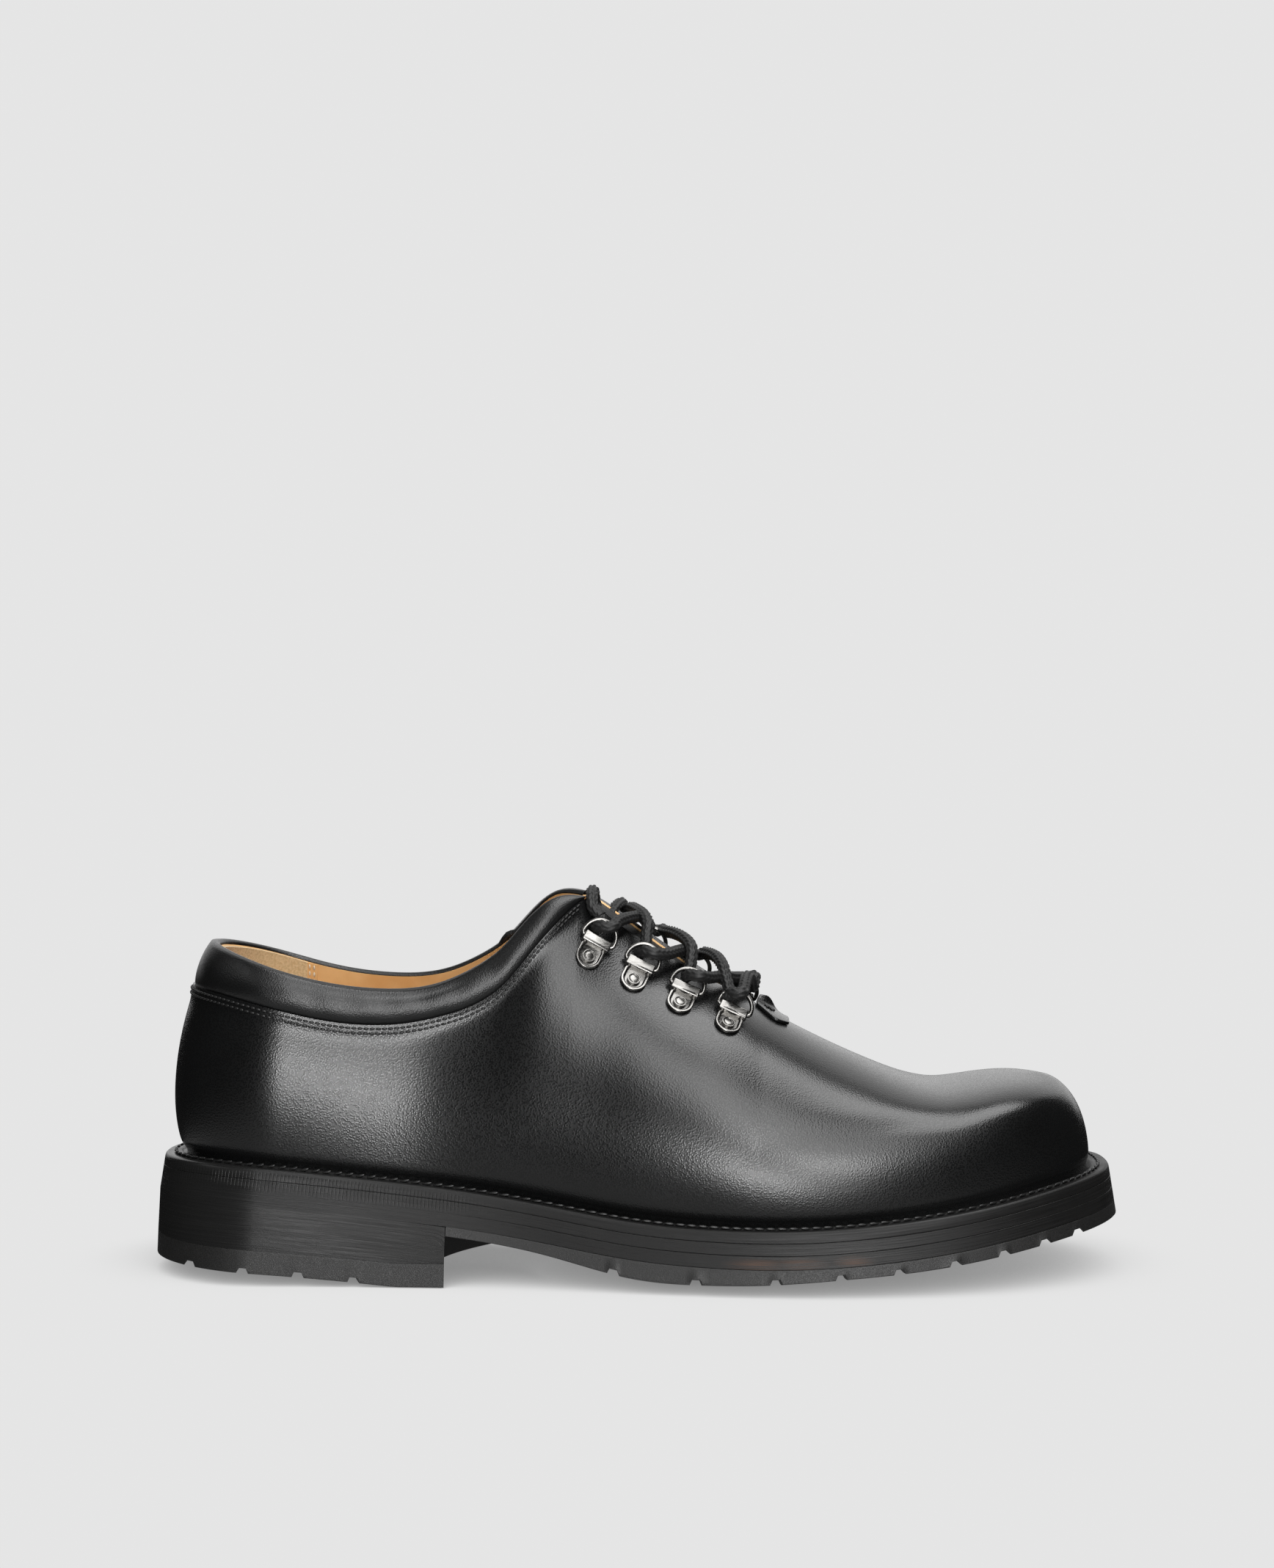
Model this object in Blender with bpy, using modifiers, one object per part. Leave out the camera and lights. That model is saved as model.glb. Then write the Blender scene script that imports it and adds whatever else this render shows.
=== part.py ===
"""Wholecut haferl shoe for the right foot: a hollow leather upper on a storm-welted, heeled sole.

Lengths are in millimetres until a mesh is made, which is in metres. The shoe is drawn with x
running from the heel to the toe, y from the outer (lateral) side to the inner (medial) side and
z up from the floor, and is then moved so that the origin lies under the middle of its box.
"""

import math

import bmesh
import bpy
import numpy as np
from mathutils import Matrix, Vector

METRES = 0.001
GAP = 0.3
MERGE = 0.005
SMOOTH_ANGLE = math.radians(40)
LATERAL, MEDIAL = -1, 1
UP = np.array((0.0, 0.0, 1.0))

# Sole outline, measured along the top edge of the welt
WELT_BACK = 2.0
WELT_TIP = 304.5
WELT_MIDDLE = (WELT_BACK + WELT_TIP) / 2
HEEL_ROUND = 34.0
TOE_ROUND = 62.0
TOE_SQUARENESS = 2.5
EDGE_FLARE = 0.16

# Sole layers, as depths below the top edge of the welt
WELT_REACH = 6.0
WELT_THICKNESS = 3.5
MIDSOLE_THICKNESS = 3.4
OUTSOLE_THICKNESS = 3.8
MIDSOLE_TOP = WELT_THICKNESS + GAP
OUTSOLE_TOP = MIDSOLE_TOP + MIDSOLE_THICKNESS + GAP
TREAD_TOP = OUTSOLE_TOP + OUTSOLE_THICKNESS + GAP
INSOLE_RISE = 0.6
CROWN_FLAT = 0.45
CROWN_POWER = 1.7
ACROSS = (-1, -0.75, -CROWN_FLAT, CROWN_FLAT, 0.75, 1)

# Storm welt: its rounded edge, then the ledge and the bead, by how far they lie inside the edge
WELT_ROUND = 0.55
LEDGE_WIDTH = 2.9
BEAD_HEIGHT = 1.8
BEAD_TOP = 4.4
BEAD_SHOULDER = 0.75
BEAD_SHOULDER_DROP = 0.4
BEAD_END = 5.5

# Steps along the heel, the middle and the toe of each layer
WELT_STEPS = (7, 14, 8)
LAYER_STEPS = (6, 12, 7)
TREAD_STEPS = (6, 10, 8)

# Heel
BREAST_LATERAL = 94.5
BREAST_SLANT = 5.6
BREAST_HOLLOW = 11.5
TOP_LIFT_THICKNESS = 7.2
HEEL_FLAT_FROM = 78.0
HEEL_BACK_RISE = 5.2
HEEL_ROCKER = 1.6
LIFT_TOP_FLARE = 0.7
LIFT_FLARE = 1.0
HEEL_BLEND_FROM = 0.375
BREAST_CLEAR = 4.0
TREAD_BLEND = 40.0
TREAD_PLAIN_FROM = 111.3

# Tread grooves, across the sole
GROOVE_WIDTH = 3.4
GROOVE_WALL = 0.8
GROOVE_DEPTH = 1.6
FOREPART_GROOVES = (146.0, 171.0, 195.0, 214.5, 232.0, 249.0, 264.0, 277.0, 288.0)
HEEL_GROOVES = (16.0, 33.0, 50.0, 67.0)

# Upper
WALL = 2.2
RIM_BACK = 19.0
RIM_ROUND = 26.0
THROAT_TOP = 137.0
THROAT_END = 193.0
CROWN = 281.0
FOOT_AT_THROAT_TOP = 131.0
FAN_FROM = 167.0
SECTION_STEPS = 10

# Padded collar
COLLAR_GAP = 0.45
COLLAR_EDGE = 0.8
COLLAR_STEPS = 4
COLLAR_END = 0.4
PADDING_FROM = 0.12
PADDING_SPAN = 0.8
PADDING_POWER = 0.8

# Tongue and throat tab
TONGUE_THICKNESS = 1.8
TONGUE_CLEARANCE = 0.8
TONGUE_WING = 15.0
TONGUE_START = 1.5
TONGUE_STOP = 3.0
TONGUE_CROWN = 0.4
TONGUE_SECTIONS = 9
TAB_THICKNESS = 1.2

# Lace rings
PLATE_HALF_WIDTH = 4.1
PLATE_LENGTH = 5.4
PLATE_THICKNESS = 0.5
RIVET_RADIUS = 2.1
RIVET_HEIGHT = 0.8
RIVET_ROUND = 0.4
TURN_STEPS = 10
BARREL_LENGTH = 8.4
BARREL_RADIUS = 1.5
BARREL_BORE = 0.95
WIRE_RADIUS = 0.6
RING_HALF_WIDTH = 5.2
RING_HEIGHT = 7.2
RING_CORNER = 1.6
RING_SLOPE = math.radians(31)
RING_TILT = {LATERAL: math.radians(12), MEDIAL: math.radians(22)}

# Where each ring sits, from the top of the throat: its station and how far its rivet lies from the
# throat's edge
RING_PLACES = {
    LATERAL: ((140.0, 18.0), (154.3, 17.0), (168.8, 19.0), (183.0, 22.0)),
    MEDIAL: ((144.0, 14.0), (158.4, 14.0), (172.8, 14.5), (186.5, 15.5)),
}

# Lace
LACE_RADIUS = 1.6
LACE_STEPS = 8
LACE_SPREAD = 2.1
LACE_HANDLE = 0.3
LACE_OVER = 0.6
LACE_UNDER = 1.26
TOP_ARCH = 3.0
TOE_ARCH = 2.4
CROSSING_ARCH = 1.6


class Table:
    """Rows of named columns, read as natural cubic curves over the first column."""

    def __init__(self, columns, *rows):
        values = np.array(rows, float)
        self.key = values[:, 0]
        self.columns = dict(zip(columns.split(), values.T))
        self.bends = {name: self.natural_bends(column) for name, column in self.columns.items()}

    def natural_bends(self, column):
        """Second derivatives of the natural cubic through a column."""
        steps = np.diff(self.key)
        matrix = np.eye(len(self.key))
        right = np.zeros(len(self.key))
        for i in range(1, len(self.key) - 1):
            before, after = steps[i - 1], steps[i]
            matrix[i, i - 1 : i + 2] = before, 2 * (before + after), after
            rise_after = (column[i + 1] - column[i]) / after
            rise_before = (column[i] - column[i - 1]) / before
            right[i] = 6 * (rise_after - rise_before)
        return np.linalg.solve(matrix, right)

    def at(self, name, x):
        """Value of a column at x, held at its end values beyond the table."""
        x = min(max(x, self.key[0]), self.key[-1])
        i = int(np.clip(np.searchsorted(self.key, x) - 1, 0, len(self.key) - 2))
        step = self.key[i + 1] - self.key[i]
        a = (self.key[i + 1] - x) / step
        b = 1 - a
        values, bends = self.columns[name], self.bends[name]
        bend = (a**3 - a) * bends[i] + (b**3 - b) * bends[i + 1]
        return a * values[i] + b * values[i + 1] + bend * step * step / 6


# Half the width of the sole and how far its middle swings to the inner side
OUTLINE = Table(
    "x half_width swing",
    (0, 33.0, 0.0),
    (40, 34.0, -0.3),
    (80, 33.5, -1.8),
    (110, 33.6, -4.2),
    (140, 37.6, -5.7),
    (170, 44.4, -4.7),
    (195, 49.8, -3.0),
    (215, 52.2, -1.5),
    (235, 52.0, -0.2),
    (260, 49.0, 1.2),
    (285, 45.7, 2.5),
    (305, 42.0, 3.0),
)

# Height of the welt's top edge, how far the middle of the sole hangs below its edges, and the
# whole thickness of the sole in front of the heel
BED = Table(
    "x edge_z crown stack",
    (2, 36.8, 0.0, 14.3),
    (14, 37.2, 0.0, 14.3),
    (28, 36.8, 0.0, 14.3),
    (50, 34.9, 0.0, 14.3),
    (75, 32.3, 0.0, 14.3),
    (100, 29.4, 0.4, 14.3),
    (125, 25.7, 1.8, 14.9),
    (150, 21.8, 3.6, 16.7),
    (175, 20.0, 4.3, 16.3),
    (195, 19.8, 4.3, 15.6),
    (215, 20.7, 3.8, 15.0),
    (240, 23.1, 3.0, 15.1),
    (265, 26.9, 1.9, 15.3),
    (285, 30.6, 0.8, 15.5),
    (304.5, 33.6, 0.0, 15.6),
)

# Collar rim: height, half the opening and its middle
RIM = Table(
    "x z half_open centre",
    (19, 104.2, 24.0, 0.0),
    (30, 99.8, 26.5, 0.0),
    (45, 94.9, 27.0, -0.2),
    (60, 91.9, 26.6, -0.2),
    (75, 91.0, 25.8, -0.2),
    (90, 93.0, 24.8, 0.0),
    (102, 98.0, 23.4, 0.0),
    (112, 105.2, 21.4, -0.3),
    (121, 115.0, 18.4, -1.0),
    (127, 119.4, 15.8, -1.7),
    (132, 120.3, 13.4, -2.4),
    (137, 119.8, 11.0, -3.0),
)

# The two edges of the throat, which lies a little to the outer side of the ridge
THROAT = Table(
    "x lateral_y lateral_z medial_y medial_z",
    (137, -14.0, 119.8, 8.0, 119.8),
    (144, -12.0, 113.2, 5.6, 115.8),
    (153, -10.2, 106.6, 3.8, 109.6),
    (165, -8.7, 98.6, 2.8, 101.2),
    (176, -7.4, 92.0, 2.4, 94.0),
    (185, -5.8, 87.2, 1.8, 88.4),
    (190, -3.8, 84.7, 0.8, 85.0),
    (193, -1.0, 83.1, -1.0, 83.1),
)

# Ridge of the vamp, from the end of the throat over the dip behind the toe to the crown
RIDGE = Table(
    "x y z",
    (193, -1.0, 83.1),
    (201, -0.4, 78.6),
    (209, 0.2, 74.4),
    (218, 0.8, 70.0),
    (227, 1.3, 65.9),
    (236, 1.8, 62.1),
    (244, 2.1, 59.5),
    (250, 2.3, 58.5),
    (258, 2.5, 59.1),
    (267, 2.6, 60.4),
    (275, 2.6, 61.1),
    (281, 2.7, 61.3),
)

# Handles of each section's curve: how far it leans out over the welt and how high, then how
# far it runs level from its top edge, in millimetres and as a share of the way, and how far it
# drops there
SECTIONS = {
    LATERAL: Table(
        "foot out rise reach fullness drop",
        (2, 7.5, 17.0, 11.0, 0.0, 15.0),
        (36, 4.6, 18.0, 6.5, 0.0, 20.0),
        (62, 4.6, 19.0, 7.0, 0.0, 22.0),
        (90, 5.4, 21.0, 9.0, 0.0, 26.0),
        (112, 6.4, 24.0, 12.0, 0.0, 28.0),
        (131, 6.6, 27.0, 17.0, 0.0, 23.0),
        (150, 6.0, 27.0, 13.0, 0.38, 14.0),
        (172, 5.0, 26.0, 4.0, 0.72, 6.0),
        (193, 4.2, 25.0, 0.0, 0.74, 0.0),
        (218, 3.4, 23.0, 0.0, 0.78, 0.0),
        (242, 2.8, 21.0, 0.0, 0.79, 0.0),
        (265, 2.2, 19.0, 0.0, 0.76, 0.0),
        (285, 1.2, 18.0, 0.0, 0.70, 0.0),
        (304.5, 0.0, 16.0, 0.0, 0.66, 0.0),
    ),
    MEDIAL: Table(
        "foot out rise reach fullness drop",
        (2, 7.5, 17.0, 11.0, 0.0, 15.0),
        (36, 4.6, 18.0, 6.5, 0.0, 20.0),
        (62, 5.0, 20.0, 7.0, 0.0, 22.0),
        (90, 7.4, 24.0, 9.0, 0.0, 26.0),
        (112, 9.4, 28.0, 13.0, 0.0, 28.0),
        (131, 9.4, 30.0, 18.0, 0.0, 20.0),
        (150, 8.0, 29.0, 13.0, 0.42, 9.0),
        (172, 6.0, 27.0, 4.0, 0.74, 3.0),
        (193, 4.4, 25.0, 0.0, 0.78, 0.0),
        (218, 3.4, 23.0, 0.0, 0.81, 0.0),
        (242, 2.8, 21.0, 0.0, 0.81, 0.0),
        (265, 2.2, 19.0, 0.0, 0.77, 0.0),
        (285, 1.2, 18.0, 0.0, 0.70, 0.0),
        (304.5, 0.0, 16.0, 0.0, 0.66, 0.0),
    ),
}

# Padded collar: how far it reaches down from the rim and how far it puffs out
COLLAR = Table(
    "x width puff",
    (19, 15.6, 1.9),
    (25, 13.4, 2.1),
    (33, 11.8, 2.5),
    (45, 10.6, 2.9),
    (60, 9.8, 3.1),
    (78, 9.3, 3.1),
    (92, 9.6, 3.1),
    (101, 10.6, 3.1),
    (110, 11.6, 3.0),
    (119, 12.8, 2.9),
    (124, 12.6, 2.7),
    (129, 9.8, 2.4),
    (133, 5.6, 1.9),
    (136.6, 1.6, 1.2),
)

# Throat tab: half its width along the ridge, and how far its edges lift off the vamp
TAB = Table(
    "x half_width lift",
    (191.4, 4.6, 1.0),
    (194.4, 4.4, 0.5),
    (198.0, 5.4, 0.2),
    (201.5, 7.0, 0.2),
)


def unit(vector):
    """The vector at length one."""
    return vector / np.linalg.norm(vector)


def smooth_step(value):
    """Zero below 0, one above 1, and level at both."""
    value = min(max(value, 0.0), 1.0)
    return value * value * (3 - 2 * value)


# Sole outline and heights


def end_round(x):
    """Share of its width that the outline keeps where the heel and the toe round off."""
    share = 1.0
    if x < WELT_BACK + HEEL_ROUND:
        share = math.sqrt(max(0.0, 1 - (1 - (x - WELT_BACK) / HEEL_ROUND) ** 2))
    if x > WELT_TIP - TOE_ROUND:
        left = 1 - max(0.0, WELT_TIP - x) / TOE_ROUND
        share = max(0.0, 1 - left**TOE_SQUARENESS) ** (1 / TOE_SQUARENESS)
    return share


def edge(x, side, grow=0.0):
    """Plan point of the sole's edge at station x, moved outwards by grow."""
    stretch = 1 + 2 * grow / (WELT_TIP - WELT_BACK)
    half = (OUTLINE.at("half_width", x) + grow) * end_round(x)
    along = WELT_MIDDLE + (x - WELT_MIDDLE) * stretch
    return np.array((along, OUTLINE.at("swing", x) + side * half))


def edge_normal(x, side):
    """Outward plan direction of the sole's edge at station x."""
    reach = 0.01
    if x - WELT_BACK < reach:
        return np.array((-1.0, 0.0))
    if WELT_TIP - x < reach:
        return np.array((1.0, 0.0))
    along = unit(edge(x + reach, side) - edge(x - reach, side))
    return side * np.array((-along[1], along[0]))


def sole_stations(heel_steps, middle_steps, toe_steps):
    """Stations from heel to toe, closer together where the outline turns."""
    turns = [1 - math.cos(math.pi / 2 * i / heel_steps) for i in range(heel_steps)]
    heel = [WELT_BACK + HEEL_ROUND * turn for turn in turns]
    middle = list(np.linspace(WELT_BACK + HEEL_ROUND, WELT_TIP - TOE_ROUND, middle_steps + 1))
    toe = [toe_station(i / toe_steps) for i in range(1, toe_steps + 1)]
    return heel + middle + toe


def toe_station(share):
    """Station on the rounded toe, from its start at 0 to the tip at 1."""
    angle = math.pi / 2 * (1 - share)
    return WELT_TIP - TOE_ROUND * (1 - math.cos(angle) ** (2 / TOE_SQUARENESS))


def crown_share(across):
    """How far a place across the sole hangs: 1 over the flat middle, 0 at the edges."""
    return 1 - max(0.0, (abs(across) - CROWN_FLAT) / (1 - CROWN_FLAT)) ** CROWN_POWER


def layer_z(x, station, across, depth):
    """Height of a sole layer's face at x, at a depth below the welt's top edge."""
    return BED.at("edge_z", x) - depth - BED.at("crown", station) * crown_share(across)


def groove_depth(x, grooves):
    """Depth of the tread grooves at station x."""
    nearest = min(abs(x - groove) for groove in grooves)
    share = (GROOVE_WIDTH / 2 + GROOVE_WALL / 2 - nearest) / GROOVE_WALL
    return GROOVE_DEPTH * min(max(share, 0.0), 1.0)


def groove_stations(grooves):
    """Stations at the foot and the brink of each groove's two walls."""
    half, wall = GROOVE_WIDTH / 2, GROOVE_WALL / 2
    return [g + s * (half + w) for g in grooves for s in (-1, 1) for w in (-wall, wall)]


def heel_floor_z(x):
    """Underside of the heel: flat in front, rising a little to the back."""
    return HEEL_BACK_RISE * max(0.0, 1 - (max(x, 0.0) / HEEL_FLAT_FROM) ** HEEL_ROCKER)


def breast_x(across):
    """The hollow, slanted front face of the heel, from the lateral to the medial corner."""
    return BREAST_LATERAL + BREAST_SLANT * (across + 1) - BREAST_HOLLOW * (1 - across * across)


# Upper surface


def rim_round(x):
    """Share of its width that the collar's opening keeps where it rounds the heel."""
    left = max(0.0, 1 - (x - RIM_BACK) / RIM_ROUND)
    return math.sqrt(max(0.0, 1 - left * left))


def top_edge(x, side):
    """Point of the upper's top edge at station x: collar rim, throat edge, then the ridge."""
    if x <= THROAT_TOP:
        half = RIM.at("half_open", x) * rim_round(x)
        return np.array((x, RIM.at("centre", x) + side * half, RIM.at("z", x)))
    if x < THROAT_END:
        name = "lateral" if side == LATERAL else "medial"
        return np.array((x, THROAT.at(name + "_y", x), THROAT.at(name + "_z", x)))
    return np.array((x, RIDGE.at("y", x), RIDGE.at("z", x)))


def ridge_slope(x):
    """Rise of the ridge along the shoe, which the sections follow so that both sides join smoothly."""
    reach = 0.5
    if x < THROAT_END or x >= CROWN:
        return 0.0
    return (RIDGE.at("z", x + reach) - RIDGE.at("z", x - reach)) / (2 * reach)


def section_handles(side, foot_x, top_x):
    """The four control points of a section's curve, from the welt to the top edge."""
    foot = edge(foot_x, side, -WELT_REACH)
    foot = np.append(foot, BED.at("edge_z", foot[0]) + GAP)
    top = top_edge(top_x, side)
    table = SECTIONS[side]
    out, rise, drop = (table.at(name, foot_x) for name in ("out", "rise", "drop"))
    normal = edge_normal(foot_x, side)
    to_foot = foot[:2] - top[:2]
    reach = table.at("reach", foot_x) + table.at("fullness", foot_x) * np.linalg.norm(to_foot)
    ridge_part = smooth_step((top_x - FAN_FROM) / (THROAT_END - FAN_FROM))
    level = unit(normal * (1 - ridge_part) + unit(to_foot) * ridge_part)
    low = foot + np.append(normal * out, rise)
    high = top + reach * np.append(level, ridge_slope(top_x) * level[0]) - drop * UP
    return foot, low, high, top


def skin(side, foot_x, top_x, t, lift=0.0):
    """Point of the upper's outer face, t from the welt at 0 to the top edge at 1, lifted off it."""
    point = curve_point(section_handles(side, foot_x, top_x), t)
    if lift:
        point = point + lift * skin_normal(side, foot_x, top_x, t)
    return point


def curve_point(handles, t):
    """Point of a cubic curve on its four control points."""
    s = 1 - t
    weights = (s**3, 3 * s * s * t, 3 * s * t * t, t**3)
    return sum(weight * handle for weight, handle in zip(weights, handles))


def skin_normal(side, foot_x, top_x, t):
    """Outward direction of the upper's face."""
    step, rise = 0.4, 0.01
    back_foot, back_top = max(foot_x - step, WELT_BACK), max(top_x - step, RIM_BACK)
    front_foot, front_top = min(foot_x + step, WELT_TIP), min(top_x + step, CROWN)
    along = skin(side, front_foot, front_top, t) - skin(side, back_foot, back_top, t)
    low, high = max(t - rise, 0.0), min(t + rise, 1.0)
    upward = skin(side, foot_x, top_x, high) - skin(side, foot_x, top_x, low)
    if foot_x <= WELT_BACK:
        along = np.array((0.0, float(side), 0.0))
    return unit(side * np.cross(upward, along))


def below_top(side, foot_x, top_x, distance):
    """Where a section is this far from its top edge, as t."""
    handles = section_handles(side, foot_x, top_x)
    shares = np.linspace(1, 0, 161)
    points = np.array([curve_point(handles, t) for t in shares])
    walked = np.append(0, np.cumsum(np.linalg.norm(np.diff(points, axis=0), axis=1)))
    return float(np.interp(distance, walked, shares))


def collar_stations():
    """Pairs of foot and top stations along the collar, from the heel to the throat."""
    heel_steps, quarter_steps = 8, 11
    turns = [1 - math.cos(math.pi / 2 * i / heel_steps) for i in range(heel_steps)]
    heel = [(WELT_BACK + HEEL_ROUND * turn, RIM_BACK + RIM_ROUND * turn) for turn in turns]
    foot = np.linspace(WELT_BACK + HEEL_ROUND, FOOT_AT_THROAT_TOP, quarter_steps + 1)
    top = np.linspace(RIM_BACK + RIM_ROUND, THROAT_TOP, quarter_steps + 1)
    return heel + list(zip(foot, top))


def throat_foot(top_x):
    """Foot station of the section that ends at a place on the throat."""
    share = (top_x - THROAT_TOP) / (THROAT_END - THROAT_TOP)
    return FOOT_AT_THROAT_TOP + share * (THROAT_END - FOOT_AT_THROAT_TOP)


def vamp_stations():
    """Pairs of foot and top stations from the throat over the vamp and round the toe."""
    throat_steps, vamp_steps, toe_steps = 8, 5, 9
    fan = WELT_TIP - TOE_ROUND
    throat_tops = np.linspace(THROAT_TOP, THROAT_END, throat_steps + 1)[1:]
    throat = [(throat_foot(x), x) for x in throat_tops]
    vamp = [(x, x) for x in np.linspace(THROAT_END, fan, vamp_steps + 1)[1:]]
    shares = [i / toe_steps for i in range(1, toe_steps + 1)]
    toe = [(toe_station(share), fan + (CROWN - fan) * share) for share in shares]
    return throat + vamp + toe


# Meshes


def new_object(name, mesh, material):
    """A node of the shoe, in the parts' collection."""
    mesh.materials.append(material)
    obj = bpy.data.objects.new(name, mesh)
    parts.objects.link(obj)
    return obj


def mesh_from(name, bm):
    """The finished mesh of a bmesh, with its doubled points merged, in metres about the origin."""
    bmesh.ops.remove_doubles(bm, verts=bm.verts, dist=MERGE)
    bmesh.ops.translate(bm, verts=bm.verts, vec=-Vector(shoe_origin()))
    bmesh.ops.scale(bm, verts=bm.verts, vec=(METRES,) * 3)
    mesh = bpy.data.meshes.new(name)
    bm.to_mesh(mesh)
    bm.free()
    mesh.shade_smooth()
    mesh.set_sharp_from_angle(angle=SMOOTH_ANGLE)
    return mesh


def shoe_origin():
    """Point of the floor under the middle of the shoe's box."""
    flare = (TREAD_TOP + OUTSOLE_THICKNESS) * EDGE_FLARE
    stations = np.linspace(WELT_BACK, WELT_TIP, 200)
    sides = [edge(x, side, flare)[1] for side in (LATERAL, MEDIAL) for x in stations]
    return (WELT_MIDDLE, (min(sides) + max(sides)) / 2, 0.0)


def loft(name, sections, material, around=False):
    """A closed solid through rings of points, capped at its ends or joined end to end."""
    bm = bmesh.new()
    rings = [[bm.verts.new(point) for point in section] for section in sections]
    pairs = list(zip(rings, rings[1:])) + ([(rings[-1], rings[0])] if around else [])
    for ring, following in pairs:
        for i in range(len(ring)):
            j = (i + 1) % len(ring)
            bm.faces.new((ring[i], ring[j], following[j], following[i]))
    for ring in () if around else (rings[0], rings[-1]):
        last = len(ring) - 1
        drawn_out = (ring[0].co - ring[last // 2].co).length > 10 * MERGE
        for i in range(last // 2 if drawn_out else 0):
            bm.faces.new((ring[i], ring[i + 1], ring[last - i - 1], ring[last - i]))
    bmesh.ops.remove_doubles(bm, verts=bm.verts, dist=MERGE)
    bmesh.ops.recalc_face_normals(bm, faces=bm.faces)
    bmesh.ops.triangulate(bm, faces=bm.faces, quad_method="SHORT_EDGE")
    return new_object(name, mesh_from(name, bm), material)


def plate_section(top_row, bottom_row):
    """One ring of a plate: its top from side to side and its underside back again."""
    return list(top_row) + list(reversed(list(bottom_row)))


def plate(name, top_depth, bottom_depth, material, grow=0.0, flare=EDGE_FLARE):
    """A layer of the sole between two depths, following its bed."""

    def row(x, depth):
        for q in ACROSS:
            rim = edge(x, LATERAL if q < 0 else MEDIAL, grow + depth * flare)
            middle = OUTLINE.at("swing", x)
            yield (rim[0], middle + (rim[1] - middle) * abs(q), layer_z(rim[0], x, q, depth))

    stations = sole_stations(*LAYER_STEPS)
    sections = [plate_section(row(x, top_depth), row(x, bottom_depth)) for x in stations]
    return loft(name, sections, material)


# Pieces of the sole


def make_welt(material):
    """Storm welt: a strip round the whole shoe with a bead that stands against the upper."""
    inside = WELT_REACH + WALL
    profile = (
        (-WELT_THICKNESS * EDGE_FLARE, -WELT_THICKNESS),
        (0.0, -WELT_ROUND),
        (WELT_ROUND, 0.0),
        (LEDGE_WIDTH, 0.0),
        (BEAD_TOP - BEAD_SHOULDER, BEAD_HEIGHT - BEAD_SHOULDER_DROP),
        (BEAD_TOP, BEAD_HEIGHT),
        (BEAD_TOP + BEAD_SHOULDER, BEAD_HEIGHT - BEAD_SHOULDER_DROP),
        (BEAD_END, 0.0),
        (inside, 0.0),
        (inside, -WELT_THICKNESS),
    )
    lateral = sole_stations(*WELT_STEPS)
    places = [(x, LATERAL) for x in lateral] + [(x, MEDIAL) for x in reversed(lateral[1:-1])]
    sections = []
    for x, side in places:
        section = []
        for inward, height in profile:
            plan = edge(x, side, -inward)
            section.append((*plan, BED.at("edge_z", plan[0]) + height))
        sections.append(section)
    return loft("storm_welt", sections, material, around=True)


def make_midsole(material):
    """Leather midsole under the welt."""
    return plate("midsole", MIDSOLE_TOP, MIDSOLE_TOP + MIDSOLE_THICKNESS, material)


def make_outsole(material):
    """Leather outsole under the midsole, from heel to toe."""
    return plate("outsole", OUTSOLE_TOP, OUTSOLE_TOP + OUTSOLE_THICKNESS, material)


def make_insole(material):
    """Insole inside the upper, resting on the midsole."""
    grow = -(WELT_REACH + WALL + 2 * GAP)
    return plate("insole", -INSOLE_RISE, WELT_THICKNESS, material, grow, flare=0.0)


def make_tread(material):
    """Rubber sole from the heel's breast to the toe, with grooves across it."""
    start = BREAST_LATERAL + GAP
    plain = [x for x in sole_stations(*TREAD_STEPS) if x > TREAD_PLAIN_FROM]
    grooves = groove_stations(FOREPART_GROOVES)
    clear = [x for x in plain if min(abs(x - g) for g in grooves) > GROOVE_WIDTH]
    stations = sorted([start] + clear + grooves)

    def row(x, top):
        behind_breast = 1 - smooth_step((x - start) / TREAD_BLEND)
        for q in ACROSS:
            place = x + behind_breast * (breast_x(q) + GAP - start)
            depth = TREAD_TOP if top else BED.at("stack", place)
            rim = edge(place, LATERAL if q < 0 else MEDIAL, depth * EDGE_FLARE)
            middle = OUTLINE.at("swing", place)
            z = layer_z(rim[0], place, q, depth)
            if not top:
                z = max(z, 0.0) + groove_depth(x, FOREPART_GROOVES)
            yield (rim[0], middle + (rim[1] - middle) * abs(q), z)

    sections = [plate_section(row(x, True), row(x, False)) for x in stations]
    return loft("rubber_forepart", sections, material)


def heel_piece(name, stations, top_z, bottom_z, top_grow, bottom_grow, material):
    """A layer of the heel, from its round back to its hollow breast."""

    def row(x, height, grow):
        nominal = (x - WELT_BACK) / (BREAST_LATERAL - WELT_BACK)
        for q in ACROSS:
            near_breast = smooth_step((nominal - HEEL_BLEND_FROM) / (1 - HEEL_BLEND_FROM))
            place = x + near_breast * (breast_x(q) - BREAST_LATERAL)
            rim = edge(place, LATERAL if q < 0 else MEDIAL, grow)
            middle = OUTLINE.at("swing", place)
            yield (rim[0], middle + (rim[1] - middle) * abs(q), height(rim[0], x))

    sections = []
    for x in stations:
        sections.append(plate_section(row(x, top_z, top_grow), row(x, bottom_z, bottom_grow)))
    return loft(name, sections, material)


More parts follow.
